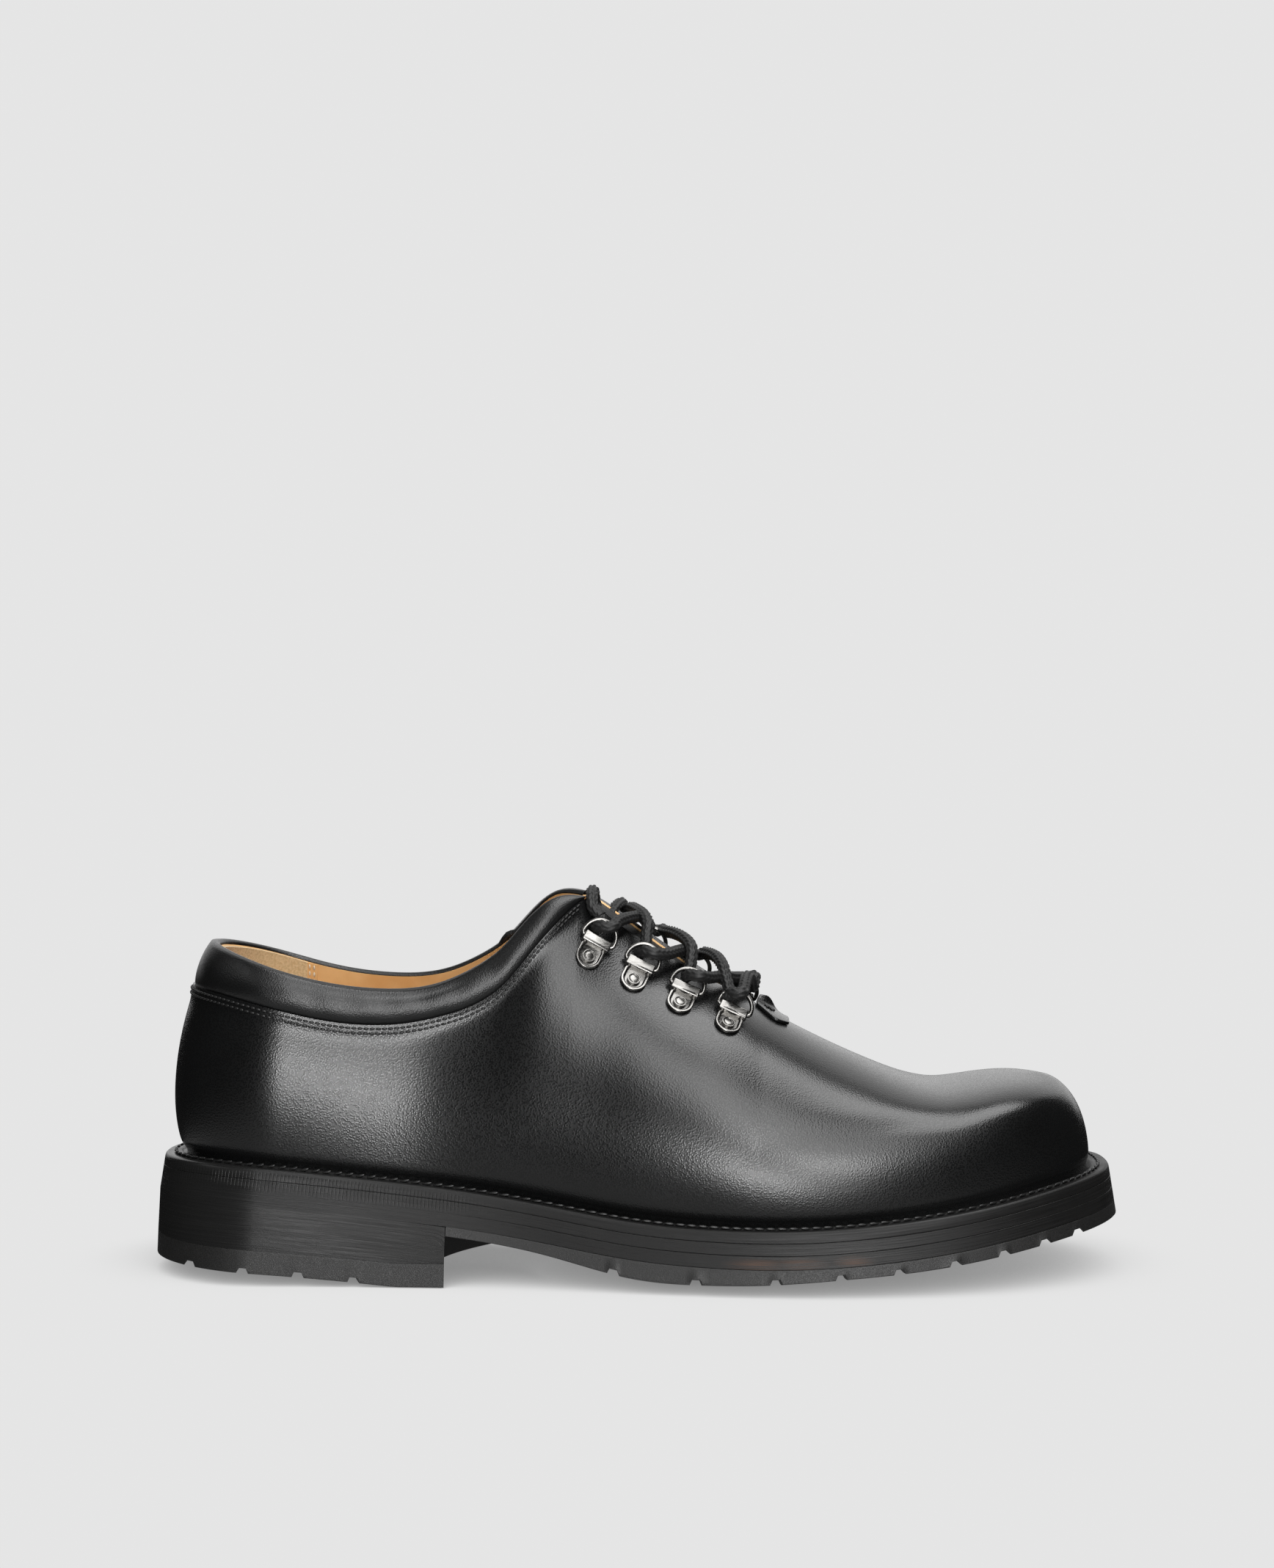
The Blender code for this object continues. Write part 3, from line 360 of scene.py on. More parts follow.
@dataclass(frozen=True)
class SoleOutline:
    """Plan of the sole's edge, measured along the top edge of the welt."""

    back: float = 2.0
    tip: float = 304.5
    heel_round: float = 34.0
    toe_round: float = 62.0
    squareness: float = 2.5

    def _share(self, x: Array) -> Array:
        """Share of its width that the outline keeps where heel and toe round off."""
        into_heel = np.clip(1 - (x - self.back) / self.heel_round, 0.0, 1.0)
        into_toe = np.clip(1 - (self.tip - x) / self.toe_round, 0.0, 1.0)
        heel = np.sqrt(1 - into_heel**2)
        return heel * (1 - into_toe**self.squareness) ** (1 / self.squareness)

    def edge(self, x: Array, side: Array | int, grow: Array | float = 0.0) -> Array:
        """Plan points of the sole's edge.

        Args:
            x: Stations along the shoe.
            side: Which side, one for all or one each.
            grow: How far outwards of the edge, in millimetres.

        Returns:
            The plan points, two numbers each.
        """
        middle = (self.back + self.tip) / 2
        stretch = 1 + 2 * grow / (self.tip - self.back)
        half = (OUTLINE.at("half_width", x) + grow) * self._share(x)
        return np.stack((middle + (x - middle) * stretch, OUTLINE.at("swing", x) + side * half), -1)

    def normal(self, x: Array, side: int) -> Array:
        """Outward plan directions of the edge at stations of one side."""
        reach = 0.01
        ahead = self.edge(np.minimum(x + reach, self.tip), side)
        along = unit(ahead - self.edge(np.maximum(x - reach, self.back), side))
        out = side * np.stack((-along[:, 1], along[:, 0]), -1)
        out[x - self.back < reach] = (-1.0, 0.0)
        out[self.tip - x < reach] = (1.0, 0.0)
        return out

    def stations(self, heel: int, middle: int, toe: int) -> Array:
        """Stations from heel to toe, closer together where the outline turns.

        Args:
            heel: Steps round the heel.
            middle: Steps along the waist and forepart.
            toe: Steps round the toe.

        Returns:
            The stations, in order.
        """
        turns = 1 - np.cos(np.linspace(0, math.pi / 2, heel + 1))
        toe_angles = np.linspace(math.pi / 2, 0, toe + 1)[1:]
        toe_turns = 1 - np.cos(toe_angles) ** (2 / self.squareness)
        straight = np.linspace(self.back + self.heel_round, self.tip - self.toe_round, middle + 1)
        round_heel = self.back + self.heel_round * turns[:-1]
        return np.concatenate((round_heel, straight, self.tip - self.toe_round * toe_turns))

    def perimeter(self, heel: int, middle: int, toe: int) -> tuple[Array, Array, Array]:
        """Stations all the way round, out along the lateral side and back along the medial one.

        Args:
            heel: Steps round each side of the heel.
            middle: Steps along each side.
            toe: Steps round each side of the toe.

        Returns:
            Stations, sides, and the distance walked along the edge.
        """
        one_way = self.stations(heel, middle, toe)
        x = np.concatenate((one_way, one_way[-2::-1]))
        side = np.concatenate((np.full(len(one_way), -1), np.full(len(one_way) - 1, 1)))
        return x, side, walk(self.edge(x, side))


@dataclass(frozen=True)
class Last:
    """The form that the upper is pulled over, as sections from the welt to the top edge."""

    outline: SoleOutline
    welt_reach: float = 6.0
    foot_gap: float = 0.3
    rim_back: float = 19.0
    rim_round: float = 26.0
    throat_top: float = 137.0
    throat_end: float = 193.0
    fan_from: float = 167.0
    corner_reach: float = 15.0
    corner_spread: float = 12.0

    def top_edge(self, side: Side, x: Array) -> Array:
        """Points of the upper's top edge: collar rim, throat edge, then the ridge.

        Args:
            side: Which side.
            x: Stations along the top edge.

        Returns:
            The points, three numbers each.
        """
        into_heel = np.clip(1 - (x - self.rim_back) / self.rim_round, 0.0, 1.0)
        half = RIM.at("half_open", x) * np.sqrt(1 - into_heel**2)
        name = side.name.lower()
        on_rim, on_throat = x <= self.throat_top, x < self.throat_end
        y = np.where(on_throat, THROAT.at(name + "_y", x), RIDGE.at("y", x))
        z = np.where(on_throat, THROAT.at(name + "_z", x), RIDGE.at("z", x))
        y = np.where(on_rim, RIM.at("centre", x) + side * half, y)
        z = np.where(on_rim, RIM.at("z", x), z)
        return np.stack((x, y, z), -1)

    def eased_edge(self, side: Side, x: Array) -> Array:
        """Points of the top edge with the corner at the top of the throat rounded off."""
        edge = self.top_edge(side, x)
        spread = np.linspace(-1, 1, 9) * self.corner_spread
        middle = np.mean([self.top_edge(side, x + step) for step in spread], axis=0)
        share = bell((x - self.throat_top) / self.corner_reach)
        return edge + (middle - edge) * share[:, None]

    def handles(self, side: Side, foot: Array) -> Array:
        """The four control points of each section's curve, from the welt to the top edge."""
        plan = self.outline.edge(foot, side, -self.welt_reach)
        base = np.column_stack((plan, BED.at("edge_z", plan[:, 0]) + self.foot_gap))
        top_x = TOP_OF_FOOT.at("top", foot)
        top = self.top_edge(side, top_x)
        table = SECTIONS[side]
        normal = self.outline.normal(foot, side)
        to_foot = base[:, :2] - top[:, :2]
        reach = table.at("reach", foot)
        reach = reach + table.at("fullness", foot) * np.linalg.norm(to_foot, axis=1)
        on_ridge = smooth_step((top_x - self.fan_from) / (self.throat_end - self.fan_from))
        level = unit(normal * (1 - on_ridge[:, None]) + unit(to_foot) * on_ridge[:, None])
        step = 0.5
        slope = (self.top_edge(side, top_x + step) - self.top_edge(side, top_x - step))[:, 2]
        out = normal * table.at("out", foot)[:, None]
        low = base + np.column_stack((out, table.at("rise", foot)))
        slide = np.column_stack((level, on_ridge * slope * level[:, 0]))
        high = self.eased_edge(side, top_x) + reach[:, None] * slide
        high[:, 2] -= table.at("drop", foot)
        swell = normal * SWELL.at(side.name.lower(), foot)[:, None]
        low[:, :2] += swell
        high[:, :2] += swell
        return np.stack((base, low, high, top))

    def points(self, side: Side, foot: Array, t: Array) -> Array:
        """Points of the outer face.

        Args:
            side: Which side.
            foot: Stations along the welt.
            t: Shares of the way up, one row for all stations or one row each.

        Returns:
            A grid of points, a row for each station.
        """
        base, low, high, top = (handle[:, None, :] for handle in self.handles(side, foot))
        t = np.broadcast_to(t, (len(foot), np.shape(t)[-1]))[..., None]
        s = 1 - t
        return s**3 * base + 3 * s * s * t * low + 3 * s * t * t * high + t**3 * top

    def frames(self, side: Side, foot: Array, t: Array) -> tuple[Array, Array, Array]:
        """Points of the outer face with their outward and upward directions.

        Args:
            side: Which side.
            foot: Stations along the welt.
            t: Shares of the way up.

        Returns:
            Grids of points, of normals and of upward tangents.
        """
        step, rise = 0.4, 0.01
        foot = np.asarray(foot, float)
        t = np.broadcast_to(t, (len(foot), np.shape(t)[-1]))
        ahead = self.points(side, np.minimum(foot + step, self.outline.tip), t)
        along = ahead - self.points(side, np.maximum(foot - step, self.outline.back), t)
        above = self.points(side, foot, np.minimum(t + rise, 1.0))
        up = unit(above - self.points(side, foot, np.maximum(t - rise, 0.0)))
        normal = side * np.cross(up, along)
        normal[(foot <= self.outline.back) | (foot >= self.outline.tip), :, 1] = 0.0
        return self.points(side, foot, t), unit(normal), up

    def below_top(self, side: Side, foot: Array, distance: Array) -> Array:
        """Shares at which the sections are so far from their top edge, along the face.

        Args:
            side: Which side.
            foot: Stations along the welt.
            distance: Distances, a row for each station.

        Returns:
            The shares, a row for each station.
        """
        shares = np.linspace(1, 0, 241)
        path = self.points(side, foot, shares)
        steps = np.linalg.norm(np.diff(path, axis=1), axis=2)
        walked = np.column_stack((np.zeros(len(foot)), np.cumsum(steps, axis=1)))
        rows = [np.interp(d, w, shares) for d, w in zip(distance, walked)]
        return np.array(rows)

    def foot_of(self, top_x: Array) -> Array:
        """Stations of the welt whose sections end at places on the top edge."""
        feet = np.linspace(self.outline.back, self.outline.tip, 1200)
        return np.interp(top_x, TOP_OF_FOOT.at("top", feet), feet)


# Mesh tools


def deselect() -> None:
    """Leaves no object selected."""
    bpy.ops.object.select_all(action="DESELECT")


def pick(obj: Piece) -> None:
    """Makes one object the only selected and the active one."""
    deselect()
    obj.select_set(True)
    bpy.context.view_layer.objects.active = obj


def pick_faces(obj: Piece, wanted: Callable[[bpy.types.MeshPolygon], bool]) -> None:
    """Selects the faces of a piece in edit mode that pass a test, and no others."""
    bpy.ops.mesh.select_mode(type="FACE")
    bpy.ops.mesh.select_all(action="DESELECT")
    bpy.ops.object.mode_set(mode="OBJECT")
    for polygon in obj.data.polygons:
        polygon.select = wanted(polygon)
    bpy.ops.object.mode_set(mode="EDIT")


def move_points(obj: Piece, points: Array) -> None:
    """Puts a mesh's points at places in metres."""
    obj.data.vertices.foreach_set("co", np.asarray(points, np.float32).ravel())
    obj.data.update()


def mesh_points(obj: Piece) -> Array:
    """The points of a mesh, in metres."""
    points = np.empty(len(obj.data.vertices) * 3, np.float32)
    obj.data.vertices.foreach_get("co", points)
    return points.reshape(-1, 3).astype(float)


def mesh_normals(obj: Piece) -> Array:
    """The vertex normals of a mesh."""
    normals = np.empty(len(obj.data.vertices) * 3, np.float32)
    obj.data.vertex_normals.foreach_get("vector", normals)
    return normals.reshape(-1, 3).astype(float)


def lay_grid(name: str, points: Array, uv: Array | None = None) -> Piece:
    """Adds a grid and moves its points to their places.

    Args:
        name: The piece's name.
        points: Rows of points in millimetres.
        uv: Rows of pattern places in metres, if the finish follows the surface.

    Returns:
        The new object.
    """
    rows, columns = points.shape[:2]
    deselect()
    bpy.ops.mesh.primitive_grid_add(x_subdivisions=columns - 1, y_subdivisions=rows - 1, size=1)
    obj = bpy.context.object
    obj.name = obj.data.name = name
    move_points(obj, world(points.reshape(-1, 3)))
    if uv is not None:
        corners = np.empty(len(obj.data.loops), np.int32)
        obj.data.loops.foreach_get("vertex_index", corners)
        layer = obj.data.uv_layers[0]
        layer.data.foreach_set("uv", uv.reshape(-1, 2)[corners].astype(np.float32).ravel())
    return obj


def weld(obj: Piece, distance: float = 2e-6) -> None:
    """Merges doubled points, drops what collapsed and turns the faces outwards."""
    pick(obj)
    bpy.ops.object.mode_set(mode="EDIT")
    bpy.ops.mesh.select_all(action="SELECT")
    bpy.ops.mesh.remove_doubles(threshold=distance)
    bpy.ops.mesh.dissolve_degenerate(threshold=distance)
    bpy.ops.mesh.select_all(action="SELECT")
    bpy.ops.mesh.normals_make_consistent(inside=False)
    bpy.ops.object.mode_set(mode="OBJECT")


def join(name: str, objects: Sequence[Piece]) -> Piece:
    """Joins objects into the first one.

    Args:
        name: Name of the joined piece.
        objects: What is joined.

    Returns:
        The joined object.
    """
    pick(objects[0])
    for obj in objects:
        obj.select_set(True)
    bpy.ops.object.join()
    objects[0].name = objects[0].data.name = name
    return objects[0]


def thicken(obj: Piece, thickness: float) -> None:
    """Gives a sheet a wall on its inner side, in millimetres."""
    pick(obj)
    wall = obj.modifiers.new("Wall", "SOLIDIFY")
    wall.thickness = thickness * METRES
    wall.offset = -1
    wall.use_even_offset = True
    bpy.ops.object.modifier_apply(modifier=wall.name)


def round_edges(obj: Piece, width: float, segments: int, angle: float) -> None:
    """Rounds the edges of a piece that are sharper than an angle, by a width in the mesh's units."""
    pick(obj)
    bevel = obj.modifiers.new("Rounded", "BEVEL")
    bevel.width = width
    bevel.segments = segments
    bevel.limit_method = "ANGLE"
    bevel.angle_limit = math.radians(angle)
    bpy.ops.object.modifier_apply(modifier=bevel.name)


def smooth(obj: Piece, angle: float) -> None:
    """Shades a piece smooth, but for edges sharper than an angle in degrees."""
    pick(obj)
    bpy.ops.object.shade_smooth_by_angle(angle=math.radians(angle))


def finish_piece(obj: Piece, material: Material, replaces: Iterable[str] = ()) -> None:
    """Dresses a piece and fastens it to the shoe's body.

    Args:
        obj: The piece.
        material: Its finish.
        replaces: Solids that it stands for.
    """
    obj.data.materials.clear()
    obj.data.materials.append(material)
    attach(obj, "root")
    nodes = list(replaces)
    if nodes:
        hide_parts(*nodes)
    log.info("%s: %d faces", obj.name, len(obj.data.polygons))


def sew(
    name: str, places: Array, normals: Array, length: float, radius: float,
    sink: float = 0.3, slant: float = 0.0,
) -> Piece:
    """Lays a row of stitches, one over each place.

    Args:
        name: The row's name.
        places: Points along the row, in millimetres, a stitch apart.
        normals: Outward directions there.
        length: Length of a stitch.
        radius: Half the thread's thickness.
        sink: Share of the radius that is pulled into the leather.
        slant: Turn of each stitch about the normal, in degrees.

    Returns:
        The row as one object.
    """
    deselect()
    bpy.ops.mesh.primitive_uv_sphere_add(segments=8, ring_count=6, radius=1)
    bpy.ops.object.mode_set(mode="EDIT")
    bpy.ops.mesh.select_all(action="SELECT")
    bpy.ops.transform.resize(value=(radius, radius * 0.85, length / 2))
    bpy.ops.object.mode_set(mode="OBJECT")
    pattern = bpy.context.object
    shape = mesh_points(pattern)
    faces = [tuple(polygon.vertices) for polygon in pattern.data.polygons]
    bpy.data.objects.remove(pattern)
    out = unit(normals)
    run = np.gradient(places, axis=0)
    run = unit(run - out * np.sum(run * out, axis=1, keepdims=True))
    across = np.cross(out, run)
    turn = math.radians(slant)
    run, across = (
        run * math.cos(turn) + across * math.sin(turn),
        across * math.cos(turn) - run * math.sin(turn),
    )
    middle = places + out * radius * (1 - 2 * sink)
    points = (
        middle[:, None, :]
        + shape[None, :, 0, None] * across[:, None, :]
        + shape[None, :, 1, None] * out[:, None, :]
        + shape[None, :, 2, None] * run[:, None, :]
    )
    count = len(shape)
    rows = [tuple(i + count * k for i in face) for k in range(len(places)) for face in faces]
    mesh = bpy.data.meshes.new(name)
    mesh.from_pydata(world(points.reshape(-1, 3)).tolist(), [], rows)
    obj = bpy.data.objects.new(name, mesh)
    bpy.context.scene.collection.objects.link(obj)
    weld(obj)
    smooth(obj, 80)
    return obj


def spaced(points: Array, normals: Array, pitch: float) -> tuple[Array, Array]:
    """Places along a path at even distances.

    Args:
        points: The path.
        normals: Directions along it.
        pitch: Distance between places, in millimetres.

    Returns:
        The places and their directions.
    """
    walked = walk(points)
    marks = np.arange(pitch / 2, walked[-1], pitch)
    return resample(points, walked, marks), unit(resample(normals, walked, marks))


# Finishes

Value = float | Sequence[float] | Socket


class Graph:
    """Nodes of a finish or of the room."""

    def __init__(self, tree: bpy.types.NodeTree) -> None:
        """Keeps the tree that the nodes go into."""
        self.tree = tree

    def feed(self, socket: Socket, value: Value) -> None:
        """Links or sets an input."""
        if isinstance(value, Socket):
            self.tree.links.new(value, socket)
        else:
            socket.default_value = value

    def node(self, kind: str, inputs: dict | None = None, **settings: object) -> bpy.types.Node:
        """Adds a node.

        Args:
            kind: Blender's name of the node.
            inputs: Values or sockets by the input's name or number.
            settings: Properties of the node.

        Returns:
            The node.
        """
        node = self.tree.nodes.new(kind)
        for name, value in settings.items():
            setattr(node, name, value)
        for name, value in (inputs or {}).items():
            self.feed(node.inputs[name], value)
        return node


class Recipe(Graph):
    """Node graph of one finish, which ends in a Principled shader."""

    def __init__(self, name: str) -> None:
        """Starts a material with its shader.

        Args:
            name: The material's name.
        """
        self.material = bpy.data.materials.new(name)
        self.material.use_nodes = True
        super().__init__(self.material.node_tree)
        self.shader = self.tree.nodes["Principled BSDF"]

    def set(self, **inputs: Value) -> None:
        """Sets the shader's inputs, named with underscores for spaces."""
        for name, value in inputs.items():
            self.feed(self.shader.inputs[name.replace("_", " ").title().replace("Ior", "IOR")], value)

    def place(self, source: str = "Object") -> Socket:
        """Coordinates of the surface: Object in metres, or its UV map."""
        return self.node("ShaderNodeTexCoord").outputs[source]

    def stretched(self, source: str, scale: Sequence[float]) -> Socket:
        """Coordinates scaled along each axis."""
        inputs = {"Vector": self.place(source), "Scale": scale}
        return self.node("ShaderNodeMapping", inputs).outputs["Vector"]

    def noise(self, size: float, detail: float, at: Value | None = None) -> Socket:
        """Cloudy noise whose blots are so many millimetres wide."""
        inputs = {"Vector": at or self.place(), "Scale": 1 / (size * METRES), "Detail": detail}
        return self.node("ShaderNodeTexNoise", inputs).outputs[0]

    def pebbles(self, size: float) -> Socket:
        """Rounded cells so many millimetres wide, high in their middles."""
        inputs = {"Vector": self.place(), "Scale": 1 / (size * METRES)}
        cells = self.node("ShaderNodeTexVoronoi", inputs)
        return self.span(cells.outputs["Distance"], 0.0, 0.8, 1.0, 0.0)

    def math(self, operation: str, a: Value, b: Value = 0.0) -> Socket:
        """One sum on numbers."""
        return self.node("ShaderNodeMath", {0: a, 1: b}, operation=operation).outputs[0]

    def span(self, value: Value, low: float, high: float, to_low: float, to_high: float) -> Socket:
        """A value carried from one range to another, clamped and eased."""
        inputs = {0: value, 1: low, 2: high, 3: to_low, 4: to_high}
        return self.node("ShaderNodeMapRange", inputs, interpolation_type="SMOOTHSTEP").outputs[0]

    def blend(self, share: Value, a: Value, b: Value) -> Socket:
        """A colour between two colours."""
        node = self.node("ShaderNodeMix", data_type="RGBA")
        for index, value in ((0, share), (6, a), (7, b)):
            self.feed(node.inputs[index], value)
        return node.outputs[2]

    def bump(self, height: Value, depth: float) -> Socket:
        """A normal over a height whose full range is so many millimetres."""
        inputs = {"Height": height, "Distance": depth * METRES, "Strength": 1.0}
        return self.node("ShaderNodeBump", inputs).outputs[0]

    def near(self, centre: Sequence[float], reach: Sequence[float]) -> Socket:
        """One at a place of the shoe, fading to zero over a reach along each axis.

        Args:
            centre: The place, in millimetres.
            reach: How far it spreads along x, y and z.

        Returns:
            The share.
        """
        scale = [1 / (r * METRES) for r in reach]
        shift = [-c * s for c, s in zip(world(np.array(centre)), scale)]
        inputs = {"Vector": self.place(), "Scale": scale, "Location": shift}
        mapped = self.node("ShaderNodeMapping", inputs).outputs["Vector"]
        length = self.node("ShaderNodeVectorMath", {0: mapped}, operation="LENGTH").outputs["Value"]
        return self.span(length, 0.0, 1.0, 1.0, 0.0)


def grey(level: float, warmth: float = 0.0) -> Colour:
    """A near-neutral colour, a little warm or cool."""
    return (level * (1 + warmth), level, level * (1 - warmth), 1.0)


@dataclass(frozen=True)
class Finish:
    """A finish by its name; each kind wires its own shader."""

    name: str

    def mix(self, recipe: Recipe) -> None:
        """Wires the shader."""
        raise NotImplementedError

    def make(self) -> Material:
        """The finish as a material."""
        recipe = Recipe(self.name)
        self.mix(recipe)
        return recipe.material


@dataclass(frozen=True)
class BoxCalf(Finish):
    """Glossy black calf with a fine pebbled grain."""

    level: float = 0.003
    roughness: float = 0.23
    grain: float = 0.6
    depth: float = 0.027
    coat: float = 0.15

    def mix(self, recipe: Recipe) -> None:
        """Wires the shader."""
        cloud = recipe.noise(22.0, 4.0)
        fine = recipe.noise(self.grain * 0.45, 2.0)
        grain = recipe.math("ADD", recipe.pebbles(self.grain), recipe.math("MULTIPLY", fine, 0.6))
        relief = recipe.bump(grain, self.depth)
        recipe.set(
            base_color=recipe.blend(cloud, grey(self.level), grey(self.level * 1.9, -0.04)),
            roughness=recipe.span(grain, 0.35, 1.1, self.roughness + 0.09, self.roughness - 0.04),
            coat_weight=self.coat,
            coat_roughness=0.16,
            normal=relief,
            coat_normal=relief,
        )


@dataclass(frozen=True)
class LiningLeather(Finish):
    """Smooth vegetable-tanned lining, a little mottled."""

    light: Colour = (0.80, 0.50, 0.22, 1.0)
    dark: Colour = (0.66, 0.36, 0.13, 1.0)
    roughness: float = 0.5

    def mix(self, recipe: Recipe) -> None:
        """Wires the shader."""
        cloud = recipe.noise(14.0, 5.0)
        pores = recipe.noise(0.5, 3.0)
        recipe.set(
            base_color=recipe.blend(recipe.span(cloud, 0.3, 0.7, 0.0, 1.0), self.light, self.dark),
            roughness=recipe.span(pores, 0.3, 0.7, self.roughness - 0.06, self.roughness + 0.1),
            normal=recipe.bump(pores, 0.05),
        )


@dataclass(frozen=True)
class Suede(Finish):
    """Napped beige leather of the heel grip."""

    light: Colour = (0.71, 0.54, 0.31, 1.0)
    dark: Colour = (0.58, 0.42, 0.22, 1.0)

    def mix(self, recipe: Recipe) -> None:
        """Wires the shader."""
        nap = recipe.noise(0.7, 6.0)
        recipe.set(
            base_color=recipe.blend(recipe.span(nap, 0.35, 0.65, 0.0, 1.0), self.dark, self.light),
            roughness=0.95,
            sheen_weight=0.4,
            sheen_roughness=0.5,
            normal=recipe.bump(nap, 0.25),
        )


@dataclass(frozen=True)
class EdgeLeather(Finish):
    """Waxed black sole edge: lengthways strokes, wheel marks at the heel, rubbed brown patches, and a painted
    highlight that lightens the colour round the heel.
    """

    level: float = 0.005
    roughness: float = 0.36
    tick_pitch: float = 1.15
    tick_end: float = 112.0
    tick_fade: float = 30.0
    worn_brown: Colour = (0.062, 0.034, 0.022, 1.0)
    rubbed: tuple[tuple[float, float, float, float], ...] = (
        (190.0, -54.0, 10.0, 13.0),
        (203.0, -54.0, 10.4, 11.0),
        (219.0, -54.0, 11.2, 8.0),
    )

    def ticks(self, recipe: Recipe, along: Value, cloud: Value) -> Socket:
        """Wheel marks across the middle of the edge, round the heel.

        Args:
            recipe: The finish.
            along: Place along the shoe, in metres.
            cloud: Noise that makes some marks fainter.

        Returns:
            Depth of the marks, from 0 to 1.
        """
        run = recipe.node("ShaderNodeSeparateXYZ", {0: recipe.place("UV")}).outputs
        turns = recipe.math("MULTIPLY", run[0], 2 * math.pi / (self.tick_pitch * METRES))
        end = (self.tick_end - FLOOR_POINT[0]) * METRES
        ticks = recipe.span(recipe.math("SINE", turns), 0.35, 1.0, 0.0, 1.0)
        for fade in (
            recipe.span(along, end - self.tick_fade * METRES, end, 1.0, 0.0),
            recipe.span(run[1], 0.0006, 0.002, 0.0, 1.0),
            recipe.span(run[1], 0.0045, 0.0075, 1.0, 0.0),
            recipe.span(cloud, 0.35, 0.6, 0.3, 1.0),
        ):
            ticks = recipe.math("MULTIPLY", ticks, fade)
        return ticks

    def mix(self, recipe: Recipe) -> None:
        """Wires the shader."""
        strokes = recipe.noise(1.0, 4.0, recipe.stretched("UV", (0.035, 2.4, 1.0)))
        cloud = recipe.noise(9.0, 4.0)
        along = recipe.node("ShaderNodeSeparateXYZ", {0: recipe.place()}).outputs[0]
        height = recipe.math("SUBTRACT", strokes, self.ticks(recipe, along, cloud))
        brown = 0.0
        for x, y, z, reach in self.rubbed:
            spot = recipe.near((x, y, z), (reach, 30.0, 2.6))
            brown = recipe.math("MAXIMUM", spot, brown)
        worn = recipe.math("MULTIPLY", brown, recipe.span(strokes, 0.38, 0.62, 0.1, 1.0))
        rough = recipe.span(strokes, 0.3, 0.7, self.roughness - 0.07, self.roughness + 0.12)
        black = recipe.blend(cloud, grey(self.level), grey(self.level * 2.0, 0.03))
        # Painted highlight: the edge's colour turns a lighter grey round the heel and fades out towards the
        # waist.
        black = recipe.blend(recipe.span(along, -0.105, -0.06, 0.7, 0.0), black, grey(0.012))
        recipe.set(
            base_color=recipe.blend(worn, black, self.worn_brown),
            roughness=recipe.math("ADD", rough, recipe.span(along, -0.11, -0.06, -0.06, 0.06)),
            specular_ior_level=0.26,
            normal=recipe.bump(height, 0.06),
        )


@dataclass(frozen=True)
class Rubber(Finish):
    """Matt black rubber of the tread."""

    level: float = 0.006
    roughness: float = 0.5

    def mix(self, recipe: Recipe) -> None:
        """Wires the shader."""
        cloud = recipe.noise(7.0, 4.0)
        speck = recipe.noise(0.35, 3.0)
        recipe.set(
            base_color=recipe.blend(cloud, grey(self.level), grey(self.level * 1.8, 0.04)),
            roughness=recipe.span(speck, 0.3, 0.7, self.roughness - 0.08, self.roughness + 0.12),
            normal=recipe.bump(speck, 0.05),
        )


@dataclass(frozen=True)
class Nickel(Finish):
    """Polished nickel plate with fine scratches and a little tarnish."""

    bright: Colour = (0.27, 0.265, 0.255, 1.0)
    tarnished: Colour = (0.16, 0.155, 0.148, 1.0)

    def mix(self, recipe: Recipe) -> None:
        """Wires the shader."""
        scratches = recipe.noise(0.9, 4.0, recipe.stretched("Object", (0.25, 1.0, 2.6)))
        tarnish = recipe.noise(2.4, 4.0)
        recipe.set(
            base_color=recipe.blend(tarnish, self.bright, self.tarnished),
            metallic=1.0,
            roughness=recipe.span(scratches, 0.3, 0.7, 0.2, 0.32),
            normal=recipe.bump(scratches, 0.0015),
        )


@dataclass(frozen=True)
class BraidedCord(Finish):
    """Black braided lace with dull, slightly shiny threads."""

    level: float = 0.005

    def mix(self, recipe: Recipe) -> None:
        """Wires the shader."""
        threads = recipe.noise(0.22, 2.0)
        recipe.set(
            base_color=recipe.blend(threads, grey(self.level), grey(self.level * 2.6)),
            roughness=0.55,
            specular_ior_level=0.5,
            normal=recipe.bump(threads, 0.08),
        )


@dataclass(frozen=True)
class Thread(Finish):
    """Waxed sewing thread."""

    colour: Colour
    roughness: float = 0.5

    def mix(self, recipe: Recipe) -> None:
        """Wires the shader."""
        fibres = recipe.noise(0.3, 2.0)
        shade = tuple(c * 0.55 for c in self.colour[:3]) + (1.0,)
        recipe.set(
            base_color=recipe.blend(fibres, shade, self.colour),
            roughness=self.roughness,
            normal=recipe.bump(fibres, 0.04),
        )


class Wardrobe:
    """All finishes of the shoe, each made once."""

    def __init__(self) -> None:
        """Makes the finishes."""
        self.calf = BoxCalf("box_calf").make()
        self.soft_calf = BoxCalf("collar_calf", roughness=0.32, grain=0.5, depth=0.04, coat=0.1).make()
        self.dull_calf = BoxCalf("tongue_calf", roughness=0.62, coat=0.0).make()
        self.lining = LiningLeather("lining_leather").make()
        self.suede = Suede("heel_grip_suede").make()
        self.edge = EdgeLeather("edge_leather").make()
        self.rubber = Rubber("tread_rubber").make()
        self.nickel = Nickel("nickel_plate").make()
        self.cord = BraidedCord("braided_cord").make()
        self.thread = Thread("black_thread", grey(0.007), 0.42).make()
        self.welt_thread = Thread("welt_thread", grey(0.010), 0.42).make()
        self.pale_thread = Thread("pale_thread", (0.92, 0.80, 0.62, 1.0)).make()


# Sole

Placing = Callable[[Array, Array], Array]
Facing = Callable[[Array, Array, float], tuple[Array, Array]]


